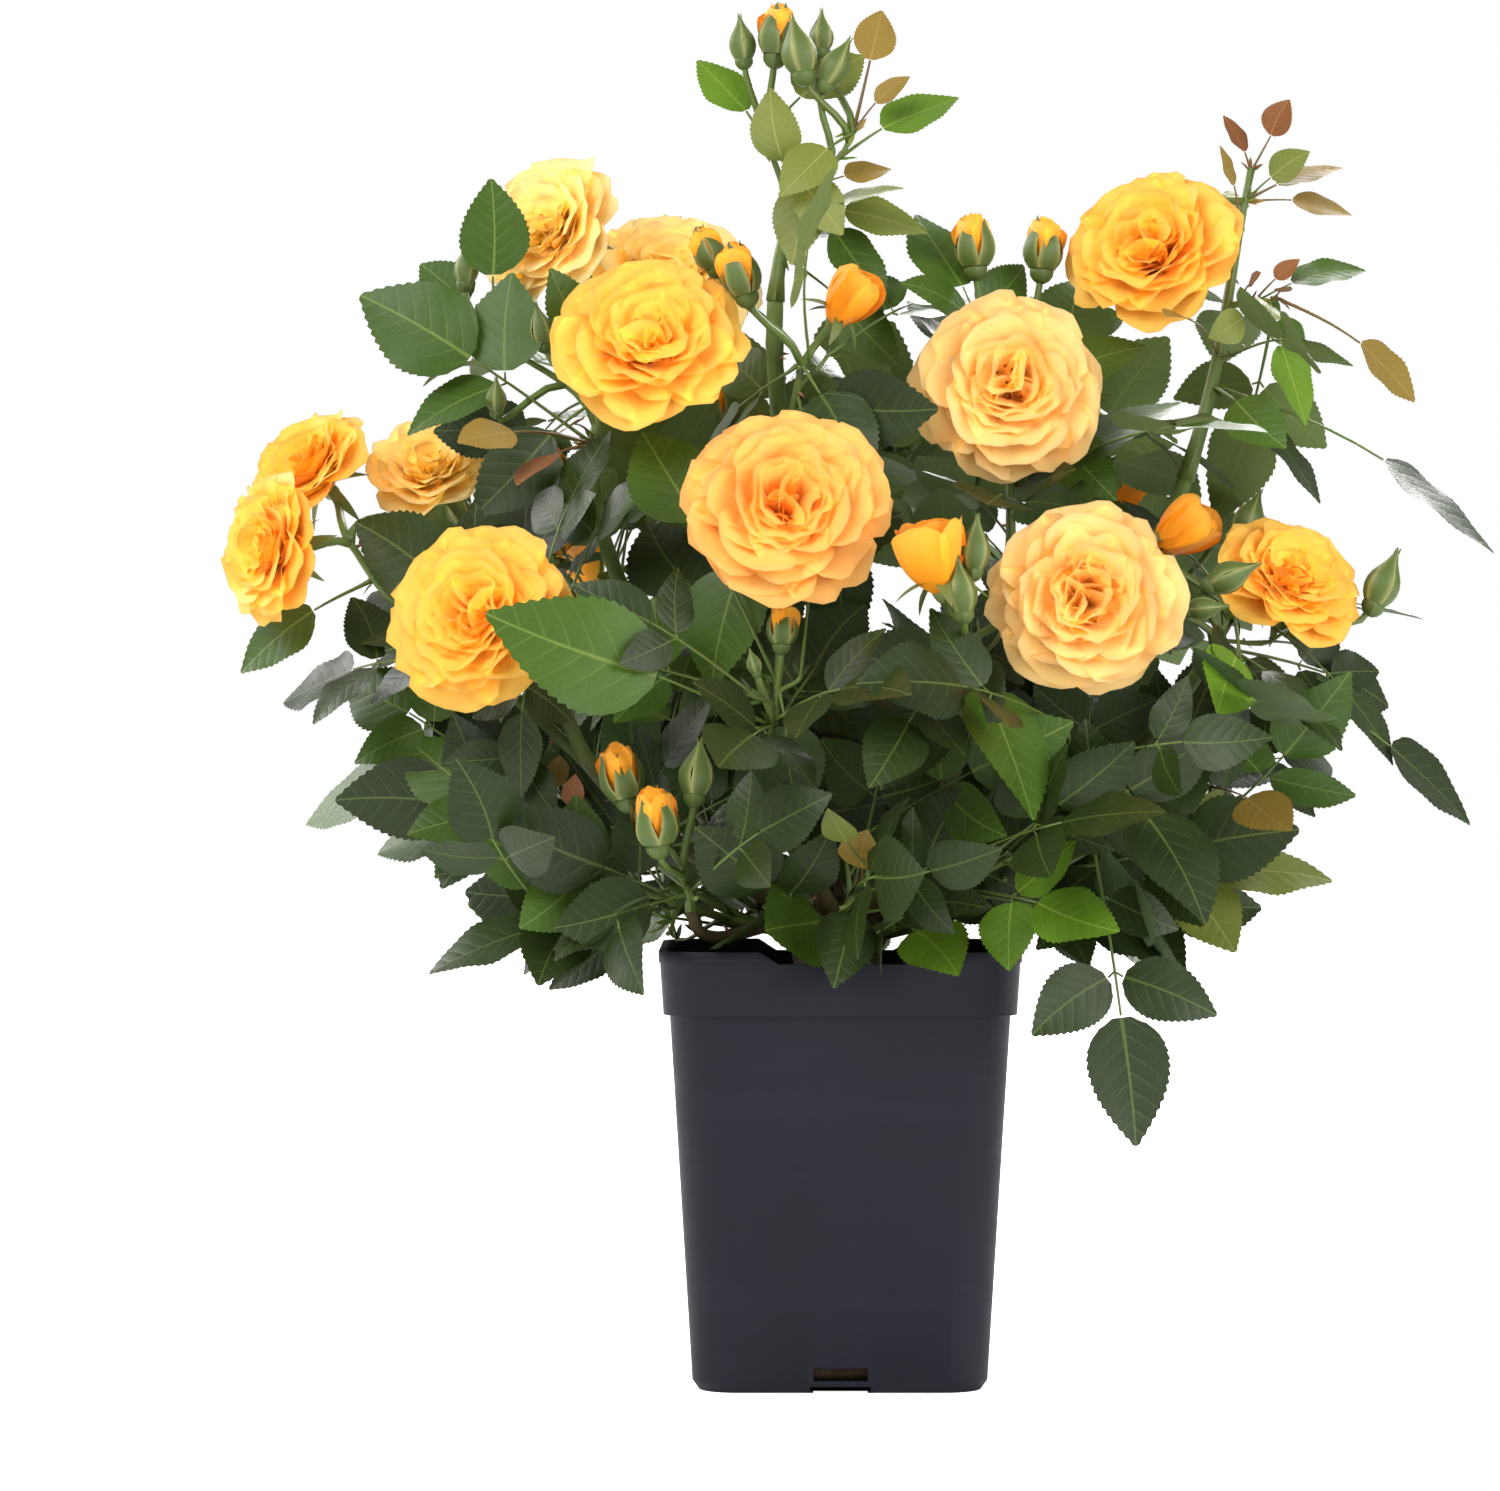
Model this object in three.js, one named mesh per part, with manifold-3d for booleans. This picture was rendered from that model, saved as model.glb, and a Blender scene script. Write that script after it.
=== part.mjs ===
// A shrub rose in full bloom, growing in a square nursery pot.
// Millimetres, +Z up. The origin is the middle of the pot's flat underside, and -Y is the front.
// Canes rise from a graft union on the soil. Each ends where it enters a spray: wood, buds and
// compound leaves fused in one solid. Every open flower is a solid of its own on its own stalk.
import * as THREE from "three";
import { mergeVertices } from "three/addons/utils/BufferGeometryUtils.js";
import Module from "manifold-3d";

const wasm = await Module();
wasm.setup();

// ---- driving dimensions ----
const GAP = 0.35; // clearance between touching pieces
const POT = { height: 220, rim: 90.5, shoulder: 85, foot: 74, wall: 2, floor: 3.2, corner: 0.27, collar: 32, lip: 6 };
const DRAIN = { width: 27, height: 3.6, depth: 38, slot: 6.4, pad: 2.6 };
const RIM_NOTCH = { top: 82, bottom: 62, depth: POT.lip };
const SOIL_TOP = 198;
const UNION = { heart: 222, width: 24, height: 22, flare: 30 };
const LEAF = { size: 66, width: 0.7, thick: 1.3, fold: 0.2, droop: 0.15, arch: 0.07, sink: 0.8, rachis: 1.3, reach: 2.2 };
const CROWN = { middle: new THREE.Vector3(10, 0, 420), reach: new THREE.Vector3(300, 225, 265) };
const FRONT = -200; // leaves of the rule come no further forward
const PLANT_HEART = new THREE.Vector3(0, 0, 300);
const UP = new THREE.Vector3(0, 0, 1);
const GOLDEN = Math.PI * (3 - Math.sqrt(5));

// ---- the plant, limb by limb ----
// aim: compass angle and rise in degrees at the union, or [] on a limb that leaves another one.
// tip and rise: where the limb ends and which way it points there. radius: at its root and tip.
const LIMBS = [
  { "name": "left", "from": "union", "aim": [190, 34], "tip": [-140, -60, 350], "rise": [-0.2, 0, 1], "radius": [5.2, 3.6] },
  { "name": "far_left", "from": "left", "aim": [], "tip": [-222, -30, 393], "rise": [-0.8, 0.1, 0.6], "radius": [3.2, 2.6] },
  { "name": "upper_left", "from": "union", "aim": [150, 68], "tip": [-125, -15, 462], "rise": [-0.05, 0, 1], "radius": [5.2, 3.4] },
  { "name": "tall", "from": "union", "aim": [60, 72], "tip": [-32, 10, 550], "rise": [0.05, 0, 1], "radius": [5.6, 4.2] },
  { "name": "middle", "from": "tall", "aim": [], "tip": [-24, -36, 480], "rise": [0, -0.1, 1], "radius": [3.2, 2.6] },
  { "name": "centre", "from": "union", "aim": [262, 34], "tip": [-34, -92, 322], "rise": [0.1, 0, 1], "radius": [5, 3] },
  { "name": "right_front", "from": "union", "aim": [300, 34], "tip": [61, -92, 345], "rise": [0, 0, 1], "radius": [5, 3] },
  { "name": "tall_right", "from": "union", "aim": [330, 66], "tip": [179, 20, 459], "rise": [0.35, 0, 1], "radius": [5.6, 4.2] },
  { "name": "centre_right", "from": "tall_right", "aim": [], "tip": [88, -5, 417], "rise": [0, 0, 1], "radius": [3.4, 2.8] },
  { "name": "right_low", "from": "union", "aim": [345, 34], "tip": [185, -30, 365], "rise": [0.5, 0.1, 0.85], "radius": [5, 3.4] },
  { "name": "short_front", "from": "union", "aim": [226, 30], "tip": [-74, -74, 240], "rise": [-0.1, -0.1, 1], "radius": [4, 2.8] },
  { "name": "back_left", "from": "union", "aim": [140, 34], "tip": [-110, 110, 360], "rise": [-0.3, 0.3, 1], "radius": [5.2, 3.6] },
  { "name": "back_right", "from": "union", "aim": [48, 34], "tip": [105, 115, 370], "rise": [0.3, 0.3, 1], "radius": [5.2, 3.6] },
  { "name": "back", "from": "union", "aim": [95, 34], "tip": [5, 135, 385], "rise": [0, 0.3, 1], "radius": [5.2, 3.6] },
];

// on: the limb whose tip the spray's stem carries on from, or the union with aim in degrees.
// crown: the stem's end. twigs: ends of side twigs. leaves: where the tip of each placed leaf is,
// and its end leaflet's length. buds: middle, heading, length. more: how many leaves the rule adds.
const SPRAYS = [
  { "name": "left", "on": "left", "crown": [-152, -62, 374], "twigs": [], "more": 2,
    "leaves": [[-245, -50, 435, 62, 1], [-160, -60, 296, 44, 1], [-182, -60, 262, 46, 1]], "buds": [] },
  { "name": "far_left", "on": "far_left", "crown": [-250, -26, 428], "twigs": [], "more": 0,
    "leaves": [[-304, -42, 359, 52, 0]], "buds": [] },
  { "name": "upper_left", "on": "upper_left", "crown": [-120, -16, 504], "twigs": [[-186, 0, 545]], "more": 1,
    "leaves": [[-244, -22, 553, 70, 1], [-177, -12, 611, 52, 0], [-146, -26, 563, 44, 0], [-216, 2, 572, 44, 0],
      [-166, -70, 455, 46, 1], [-186, -30, 438, 60, 0], [-208, -18, 484, 54, 0]],
    "buds": [[-190, 0, 566, [0.1, 0, 1], 24], [-151, -22, 533, [-0.2, -0.2, 1], 24], [-173, -32, 497, [0, -0.2, 1], 20]] },
  { "name": "tall", "on": "tall", "crown": [-17, 5, 628], "twigs": [[-38, 5, 640]], "more": 1,
    "leaves": [[63, 10, 657, 46, 1], [23, 20, 702, 34, 0], [18, 4, 683, 50, 0], [47, 0, 585, 58, 0],
      [40, 8, 517, 60, 1], [-9, -6, 572, 46, 0], [-72, 12, 676, 42, 0], [42, 32, 635, 46, 1]],
    "buds": [[-31, 5, 686, [0.1, 0, 1], 34], [-49, 10, 682, [-0.1, 0, 1], 26], [-20, -10, 675, [-0.2, 0, 1], 34],
      [-2, -5, 668, [0.5, 0, 0.9], 30], [-8, 22, 688, [0, 0.1, 1], 24]] },
  { "name": "middle", "on": "middle", "crown": [-19, -44, 514], "twigs": [], "more": 2,
    "leaves": [[48, -60, 490, 62, 1], [14, -70, 452, 58, 0], [-80, 0, 460, 54, 1]],
    "buds": [[-50, -66, 557, [-0.3, -0.1, 1], 34], [-66, -46, 570, [-0.4, 0, 0.9], 28]] },
  { "name": "centre", "on": "centre", "crown": [-31, -95, 352], "twigs": [], "more": 3,
    "leaves": [[-171, -122, 390, 88, 1], [-20, -110, 285, 50, 1], [-60, -192, 312, 54, 1]],
    "buds": [[-29, -98, 380, [0.05, 0, 1], 26], [-43, -102, 362, [-0.3, 0, 1], 14]] },
  { "name": "right_front", "on": "right_front", "crown": [60, -94, 372], "twigs": [], "more": 3,
    "leaves": [[94, -142, 287, 78, 1], [18, -122, 300, 60, 1]],
    "buds": [[64, -128, 417, [0.1, 0, 1], 30], [57, -142, 396, [-0.1, -0.1, 1], 30]] },
  { "name": "centre_right", "on": "centre_right", "crown": [88, 6, 500], "twigs": [], "more": 1,
    "leaves": [[70, -88, 438, 56, 1], [173, -22, 500, 74, 1], [140, -60, 446, 52, 1]],
    "buds": [[70, 10, 578, [-0.05, 0, 1], 34], [106, 15, 577, [0.1, 0, 1], 34]] },
  { "name": "tall_right", "on": "tall_right", "crown": [214, 28, 620], "twigs": [[225, 10, 552]], "more": 1,
    "leaves": [[338, 10, 420, 64, 1], [303, 20, 502, 52, 0], [254, 0, 486, 48, 0], [271, 20, 570, 46, 0],
      [266, 32, 596, 46, 0], [262, 20, 632, 44, 1], [232, 60, 650, 36, 0], [200, 0, 516, 44, 0], [200, 40, 440, 60, 1]],
    "buds": [] },
  { "name": "right_low", "on": "right_low", "crown": [200, -27, 388], "twigs": [], "more": 1,
    "leaves": [[287, 20, 343, 52, 1], [323, -10, 282, 60, 1], [252, -42, 322, 60, 0], [190, -70, 300, 60, 1], [184, -92, 337, 52, 0]],
    "buds": [[194, -62, 406, [0.9, -0.2, 0.4], 30], [277, -10, 404, [0.45, 0, 1], 34], [180, -74, 390, [1, -0.1, 0.1], 22],
      [212, 22, 438, [0.4, 0.1, 1], 30]] },
  { "name": "short_front", "on": "short_front", "crown": [-79, -86, 266], "twigs": [], "more": 0,
    "leaves": [[-142, -92, 232, 56, 1]],
    "buds": [[-91, -115, 284, [-0.1, -0.1, 1], 34], [-108, -97, 306, [-0.25, 0, 1], 34], [-71, -104, 308, [0.1, 0, 1], 32]] },
  { "name": "back_left", "on": "back_left", "crown": [-128, 132, 396], "twigs": [[-190, 90, 420]], "more": 5,
    "leaves": [], "buds": [[-150, 90, 470, [-0.2, 0, 1], 32], [-200, 96, 448, [-0.4, 0, 1], 28]] },
  { "name": "back_right", "on": "back_right", "crown": [122, 138, 408], "twigs": [[185, 95, 410]], "more": 5,
    "leaves": [], "buds": [[112, 110, 480, [0, 0, 1], 32], [205, 96, 440, [0.4, 0, 1], 28]] },
  { "name": "back", "on": "back", "crown": [4, 160, 432], "twigs": [[-50, 120, 470]], "more": 5,
    "leaves": [], "buds": [[-62, 120, 505, [-0.2, 0, 1], 34], [40, 130, 490, [0.3, 0, 1], 30]] },
  { "name": "skirt_front_left", "on": "union", "aim": [205, 8], "crown": [-138, -62, 262], "twigs": [], "more": 1,
    "leaves": [[-208, -50, 212, 60, 1], [-174, -72, 288, 66, 1], [-147, -62, 200, 48, 0], [-99, -104, 202, 50, 1]], "buds": [] },
  { "name": "skirt_left", "on": "union", "aim": [175, 8], "crown": [-165, -22, 322], "twigs": [], "more": 1,
    "leaves": [[-256, -22, 294, 64, 1], [-240, 34, 268, 58, 1], [-277, 24, 282, 60, 0], [-211, -20, 345, 50, 1]],
    "buds": [] },
  { "name": "skirt_front", "on": "union", "aim": [262, 8], "crown": [14, -106, 262], "twigs": [], "more": 1,
    "leaves": [[-39, -136, 229, 64, 1], [66, -124, 246, 54, 1], [-4, -120, 206, 48, 0], [-72, -112, 282, 60, 1],
      [36, -198, 262, 58, 1]], "buds": [] },
  { "name": "skirt_front_right", "on": "union", "aim": [295, 8], "crown": [98, -90, 274], "twigs": [], "more": 1,
    "leaves": [[56, -118, 211, 54, 0], [134, -112, 232, 52, 1], [128, -96, 300, 56, 1], [62, -112, 300, 54, 1]], "buds": [] },
  { "name": "skirt_right", "on": "union", "aim": [325, 8], "crown": [132, -84, 312], "twigs": [], "more": 1,
    "leaves": [[144, -106, 125, 66, 1], [176, -146, 238, 70, 0]], "buds": [] },
  { "name": "skirt_far_right", "on": "union", "aim": [0, 8], "crown": [190, -22, 302], "twigs": [], "more": 2,
    "leaves": [[250, -30, 258, 60, 1], [230, -56, 280, 60, 1], [220, 32, 238, 60, 1]], "buds": [] },
  { "name": "skirt_back_right", "on": "union", "aim": [50, 8], "crown": [120, 108, 288], "twigs": [], "more": 5,
    "leaves": [], "buds": [] },
  { "name": "skirt_back", "on": "union", "aim": [90, 8], "crown": [4, 150, 284], "twigs": [], "more": 5,
    "leaves": [], "buds": [] },
  { "name": "skirt_back_left", "on": "union", "aim": [130, 8], "crown": [-120, 108, 288], "twigs": [], "more": 5,
    "leaves": [], "buds": [] },
];

// on: the spray that carries it. at: the middle of the rosette. across: its diameter.
// open: 1 is a full rosette, 0 an opening bud that is still a cup.
const BLOOMS = [
  { "name": "front_centre", "on": "centre", "at": [-27, -112, 440], "faces": [0.05, -0.93, 0.3], "across": 104, "open": 1 },
  { "name": "front_upper_left", "on": "upper_left", "at": [-95, -70, 523], "faces": [0, -0.85, 0.45], "across": 96, "open": 1 },
  { "name": "front_upper_right", "on": "centre_right", "at": [86, -42, 502], "faces": [0, -0.97, 0.2], "across": 97, "open": 1 },
  { "name": "front_right", "on": "right_front", "at": [120, -105, 394], "faces": [-0.05, -0.97, 0.1], "across": 98, "open": 1 },
  { "name": "front_left", "on": "left", "at": [-179, -95, 386], "faces": [-0.35, -0.85, 0.3], "across": 95, "open": 1 },
  { "name": "right_side", "on": "right_low", "at": [229, -22, 406], "faces": [0.3, -0.7, 0.6], "across": 80, "open": 1 },
  { "name": "right_top", "on": "tall_right", "at": [160, 6, 576], "faces": [-0.3, -0.75, 0.45], "across": 94, "open": 1 },
  { "name": "left_top", "on": "upper_left", "at": [-148, 12, 587], "faces": [-0.6, -0.6, 0.35], "across": 78, "open": 1 },
  { "name": "left_top_back", "on": "upper_left", "at": [-86, 62, 572], "faces": [0.2, -0.35, 0.85], "across": 88, "open": 1 },
  { "name": "left_middle", "on": "far_left", "at": [-211, 38, 464], "faces": [0.3, 0.35, 0.75], "across": 70, "open": 1 },
  { "name": "left_side_upper", "on": "far_left", "at": [-270, 12, 464], "faces": [-0.45, -0.4, 0.75], "across": 62, "open": 1 },
  { "name": "left_side_lower", "on": "far_left", "at": [-286, -46, 421], "faces": [-0.85, -0.4, 0.05], "across": 68, "open": 1 },
  { "name": "cup_front", "on": "right_front", "at": [44, -138, 413], "faces": [-0.25, -0.15, 1], "across": 34, "open": 0 },
  { "name": "cup_middle", "on": "middle", "at": [6, -32, 548], "faces": [0.5, -0.3, 0.7], "across": 27, "open": 0 },
  { "name": "cup_right", "on": "right_low", "at": [176, -10, 432], "faces": [0.75, -0.2, 0.5], "across": 31, "open": 0 },
  { "name": "back_left", "on": "back_left", "at": [-162, 168, 430], "faces": [-0.5, 0.7, 0.5], "across": 92, "open": 1 },
  { "name": "back_right", "on": "back_right", "at": [152, 172, 438], "faces": [0.5, 0.75, 0.45], "across": 90, "open": 1 },
  { "name": "back_high", "on": "back", "at": [-4, 192, 478], "faces": [0, 0.85, 0.5], "across": 94, "open": 1 },
  { "name": "back_low", "on": "skirt_back", "at": [42, 216, 330], "faces": [0.2, 0.9, 0.4], "across": 84, "open": 1 },
];

const BLOOM_SEAT = 0.34; // how far behind the middle of a rosette its neck is, in radii
const STALK = { spray: 0.5, radius: 2.1 }; // the share of a flower's stalk that belongs to the spray
const BUD = { stalk: 42, radius: 1.7 };
const COLOUR = { pot: "#2f2f3b", soil: "#2a211b", cane: "#55692f", petal: "#f7b93e", leaf: "#35562a" };
const MATERIAL = Object.fromEntries(Object.entries(COLOUR).map(([name, color]) => [name,
  new THREE.MeshStandardMaterial({ color, roughness: name === "pot" ? 0.55 : 0.7, metalness: 0, side: THREE.DoubleSide })]));

// ---- solids ----
const vector = (numbers) => new THREE.Vector3(...numbers);
const heading = (numbers) => vector(numbers).normalize();
const mix = THREE.MathUtils.lerp;

function solid(geometry) {
  const bare = geometry.clone();
  for (const name of Object.keys(bare.attributes)) if (name !== "position") bare.deleteAttribute(name);
  const merged = mergeVertices(bare, 1e-4);
  return new wasm.Manifold(new wasm.Mesh({
    numProp: 3,
    vertProperties: merged.attributes.position.array,
    triVerts: new Uint32Array(merged.index.array),
  }));
}

// True if the solid is one body that stays closed when points a few microns apart are merged.
function sound(made) {
  if (made.decompose().length !== 1) return false;
  const { numProp, vertProperties, triVerts } = made.getMesh();
  return [500, 1000].every((cells) => {
    const names = Array.from({ length: vertProperties.length / numProp }, (_, k) =>
      [0, 1, 2].map((axis) => Math.round(vertProperties[k * numProp + axis] * cells)).join());
    const edges = new Map();
    for (let k = 0; k < triVerts.length; k += 3) {
      const corners = [0, 1, 2].map((c) => names[triVerts[k + c]]);
      if (new Set(corners).size < 3) continue;
      for (let c = 0; c < 3; c++) {
        const edge = corners[c] + ">" + corners[(c + 1) % 3];
        if (edges.has(edge)) return false;
        edges.set(edge, corners[(c + 1) % 3] + ">" + corners[c]);
      }
    }
    return [...edges.values()].every((back) => edges.has(back));
  });
}

const joined = (solids) => solids.reduce((whole, next) => whole.add(next));

// Moves every vertex of a geometry to where place puts it.
function shaped(geometry, place) {
  const position = geometry.attributes.position;
  for (let i = 0; i < position.count; i++) {
    const moved = place(new THREE.Vector3().fromBufferAttribute(position, i));
    position.setXYZ(i, moved.x, moved.y, moved.z);
  }
  return geometry;
}

function box(low, high) {
  const [a, b] = [vector(low), vector(high)];
  const size = b.clone().sub(a);
  return solid(new THREE.BoxGeometry(size.x, size.y, size.z).translate(...a.add(b).multiplyScalar(0.5)));
}

// A number from 0 to 1 that depends only on the keys.
function chance(...keys) {
  let state = 2166136261;
  for (const key of keys) state = (Math.imul(state ^ key, 1664525) + 1013904223) >>> 0;
  state = (Math.imul(state ^ (state >>> 15), 1664525) + 1013904223) >>> 0;
  return (state >>> 8) / 16777216;
}

// ---- pot and soil: a lathe whose turns are the corners of a rounded square ----
const ARC = 3; // steps in each corner

function squareOutline(index) {
  const [corner, step] = [Math.floor(index / (ARC + 1)) % 4, index % (ARC + 1)];
  const turn = ((corner + step / ARC) * Math.PI) / 2;
  const middle = (corner + 0.5) * (Math.PI / 2);
  const reach = (1 - POT.corner) * Math.SQRT2;
  return new THREE.Vector2(
    reach * Math.cos(middle) + POT.corner * Math.cos(turn),
    reach * Math.sin(middle) + POT.corner * Math.sin(turn));
}

function squareLathe(profile) {
  const turns = 4 * (ARC + 1);
  const geometry = new THREE.LatheGeometry(profile.map(([r, z]) => new THREE.Vector2(r, z)), turns);
  return solid(shaped(geometry, (p) => {
    const index = Math.round((Math.atan2(p.x, p.z) / (2 * Math.PI) + 1) * turns) % turns;
    const outline = squareOutline(index).multiplyScalar(Math.hypot(p.x, p.z));
    return new THREE.Vector3(outline.x, outline.y, p.y);
  }));
}

const COLLAR_FOOT = POT.height - POT.collar;
const wallAt = (z) => mix(POT.foot, POT.shoulder, (z - 7) / (COLLAR_FOOT - 7)); // outside of the wall

function makePot() {
  const inner = (z) => wallAt(z) - POT.wall;
  const shell = squareLathe([
    [0, 0], [wallAt(0) - 3, 0], [wallAt(5), 5], [wallAt(COLLAR_FOOT), COLLAR_FOOT],
    [POT.rim - 2.4, COLLAR_FOOT], [POT.rim - 0.7, POT.height - POT.lip],
    [POT.rim, POT.height - POT.lip], [POT.rim, POT.height], [POT.rim - POT.wall, POT.height],
    [POT.rim - POT.wall - 1.2, COLLAR_FOOT + 4], [inner(COLLAR_FOOT - 3), COLLAR_FOOT - 3],
    [inner(8), 8], [inner(POT.floor) - 4, POT.floor], [0, POT.floor],
  ]);
  const padTop = DRAIN.height + DRAIN.pad;
  let pot = shell;
  const side = (turn, make) => make.rotate([0, 0, 90 * turn]);
  for (let turn = 0; turn < 4; turn++) {
    const reach = wallAt(7) - POT.wall / 2;
    pot = pot.add(side(turn, box([-DRAIN.width / 2 - 2, -reach, 1], [DRAIN.width / 2 + 2, 2 - reach + DRAIN.depth, padTop])));
  }
  for (let turn = 0; turn < 4; turn++) {
    const out = wallAt(7) + 5;
    pot = pot
      .subtract(side(turn, box([-DRAIN.width / 2, -out, -1], [DRAIN.width / 2, -wallAt(7) + DRAIN.depth - 2, DRAIN.height])))
      .subtract(side(turn, box([-DRAIN.width / 2, -out, padTop], [DRAIN.width / 2, 8 - wallAt(7), padTop + DRAIN.slot])));
  }
  for (const turn of [0, 2]) {
    const notch = new THREE.Shape([
      new THREE.Vector2(-RIM_NOTCH.bottom / 2, -RIM_NOTCH.depth), new THREE.Vector2(RIM_NOTCH.bottom / 2, -RIM_NOTCH.depth),
      new THREE.Vector2(RIM_NOTCH.top / 2, 0.5), new THREE.Vector2(-RIM_NOTCH.top / 2, 0.5)]);
    const cutter = new THREE.ExtrudeGeometry(notch, { depth: 12, bevelEnabled: false })
      .rotateX(Math.PI / 2).translate(0, 6 - POT.rim, POT.height);
    pot = pot.subtract(side(turn, solid(cutter)));
  }
  return pot;
}

function makeSoil() {
  const inner = (z) => wallAt(z) - POT.wall - GAP;
  const bottom = DRAIN.height + DRAIN.pad + GAP;
  return squareLathe([
    [0, bottom], [inner(bottom) - 3, bottom], [inner(bottom + 4), bottom + 4],
    [inner(COLLAR_FOOT - 3), COLLAR_FOOT - 3], [POT.rim - POT.wall - 1.2 - GAP, COLLAR_FOOT + 5],
    [POT.rim - POT.wall - 1.2 - GAP, SOIL_TOP], [0, SOIL_TOP],
  ]);
}

// ---- graft union and limbs ----
function makeUnion(grow = 0) {
  const { heart, width, height, flare } = UNION;
  const foot = SOIL_TOP + GAP - grow;
  const profile = [[0, foot], [flare + grow, foot], [width * 0.86 + grow, foot + 9 + grow]];
  for (let k = 0; k < 6; k++) {
    const angle = ((k - 1) / 5) * (Math.PI / 2) + (k ? 0.1 : 0.06);
    if (k < 5) profile.push([(width + grow) * Math.cos(angle), heart + (height + grow) * Math.sin(angle)]);
  }
  profile.push([0, heart + height + grow]);
  const geometry = new THREE.LatheGeometry(profile.map(([r, z]) => new THREE.Vector2(r, z)), 10);
  return solid(geometry.rotateX(Math.PI / 2));
}

function bend(foot, aim, tip, rise) {
  const pull = foot.distanceTo(tip) * 0.36;
  return new THREE.CubicBezierCurve3(foot, foot.clone().addScaledVector(aim, pull), tip.clone().addScaledVector(rise, -pull), tip);
}

// A tapering limb along part of a curve.
function limb(curve, radius, { sides = 6, steps = 6, from = 0, to = 1, grow = 0 } = {}) {
  const chord = curve.getPoint(to).sub(curve.getPoint(from));
  const size = [Math.abs(chord.x), Math.abs(chord.y), Math.abs(chord.z)];
  const guide = new THREE.Vector3().setComponent(size.indexOf(Math.min(...size)), 1);
  return solid(shaped(new THREE.CylinderGeometry(1, 1, 1, sides, steps), (p) => {
    const share = from + (to - from) * (p.y + 0.5);
    const along = curve.getTangent(share);
    const side = guide.clone().cross(along).normalize();
    const thick = mix(radius[0], radius[1], share) + grow;
    return curve.getPoint(share)
      .addScaledVector(side, p.x * thick)
      .addScaledVector(side.clone().cross(along), p.z * thick);
  }));
}

const compass = ([turn, rise]) => new THREE.Vector3().setFromSphericalCoords(
  1, THREE.MathUtils.degToRad(90 - rise), THREE.MathUtils.degToRad(turn + 90)).applyAxisAngle(new THREE.Vector3(1, 0, 0), Math.PI / 2);

function fromUnion(aim) {
  const way = compass(aim);
  return { foot: new THREE.Vector3(0, 0, UNION.heart).addScaledVector(way, UNION.width * 0.6), way };
}

const limbCurve = {};
for (const row of LIMBS) {
  let start;
  if (row.from === "union") start = fromUnion(row.aim);
  else {
    const parent = limbCurve[row.from].curve;
    const foot = parent.getPoint(0.72);
    start = { foot, way: vector(row.tip).sub(foot).normalize().add(parent.getTangent(0.72)).normalize() };
  }
  limbCurve[row.name] = { ...row, curve: bend(start.foot, start.way, vector(row.tip), heading(row.rise)) };
}

// ---- sprays: the wood of each ----
function woodOf(row) {
  const crown = vector(row.crown);
  let stem;
  if (row.on === "union") {
    const start = fromUnion(row.aim);
    stem = { curve: bend(start.foot, start.way, crown, crown.clone().sub(start.foot).normalize()), radius: [2.8, 2], from: 0 };
  } else {
    const carrier = limbCurve[row.on];
    const foot = vector(carrier.tip);
    const rise = heading(carrier.rise);
    const curve = bend(foot, rise, crown, crown.clone().sub(foot).normalize());
    stem = { curve, radius: [carrier.radius[1], 2.3], from: GAP / curve.getLength() };
  }
  const wood = [stem];
  for (const end of row.twigs.map(vector)) {
    const foot = stem.curve.getPoint(0.55);
    const way = end.clone().sub(foot).normalize();
    wood.push({ curve: bend(foot, way.clone().add(stem.curve.getTangent(0.55)).normalize(), end, way.add(UP).normalize()), radius: [2.3, 1.8], from: 0 });
  }
  return wood;
}

// The point of the wood from which a shoot of that length would reach the target.
function rootFor(wood, target, length) {
  let best = { miss: Infinity };
  for (const { curve } of wood) {
    for (let share = 0.3; share <= 1.001; share += 0.1) {
      const at = curve.getPoint(Math.min(share, 0.99));
      const miss = Math.abs(at.distanceTo(target) - length) + Math.max(0, at.z - target.z) * 0.12;
      if (miss < best.miss) best = { miss, at, along: curve.getTangent(Math.min(share, 0.99)) };
    }
  }
  return best;
}

// ---- flowers ----
function stalkOf(bloom, wood) {
  const radius = bloom.across / 2;
  const faces = heading(bloom.faces);
  const neck = vector(bloom.at).addScaledVector(faces, -radius * (bloom.open ? BLOOM_SEAT : 0.8));
  const stem = wood[0].curve;
  const share = bloom.share ?? 0.9;
  const foot = stem.getPoint(share);
  const way = neck.clone().sub(foot).normalize().add(stem.getTangent(share)).normalize();
  return { curve: bend(foot, way, neck, faces), faces, neck, radius };
}

// A flower with its middle at the origin, facing +Z: a rosette with a scalloped rim, or a cup.
function flowerHead({ open }, radius) {
  const profile = open
    ? [[0, -0.4], [0.3, -0.14], [1, 0.06], [0.8, 0.22], [0.35, 0.28], [0, 0.2]]
    : [[0, -1], [0.32, -0.86], [0.3, -0.55], [0.9, 0], [1, 0.4], [0.7, 0.9], [0, 0.75]];
  const petals = open ? 5 : 4;
  const geometry = new THREE.LatheGeometry(profile.map(([r, z]) => new THREE.Vector2(r, z)), petals * 2);
  return shaped(geometry, (p) => {
    const across = Math.hypot(p.x, p.z);
    const wave = across > 0.3 && p.y > -0.2 ? Math.cos(petals * Math.atan2(p.x, p.z)) : 0;
    const spread = 1 + (open ? 0.06 : 0.03) * wave;
    return new THREE.Vector3(p.x * spread, -p.z * spread, p.y + 0.05 * wave * across).multiplyScalar(radius);
  });
}

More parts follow.
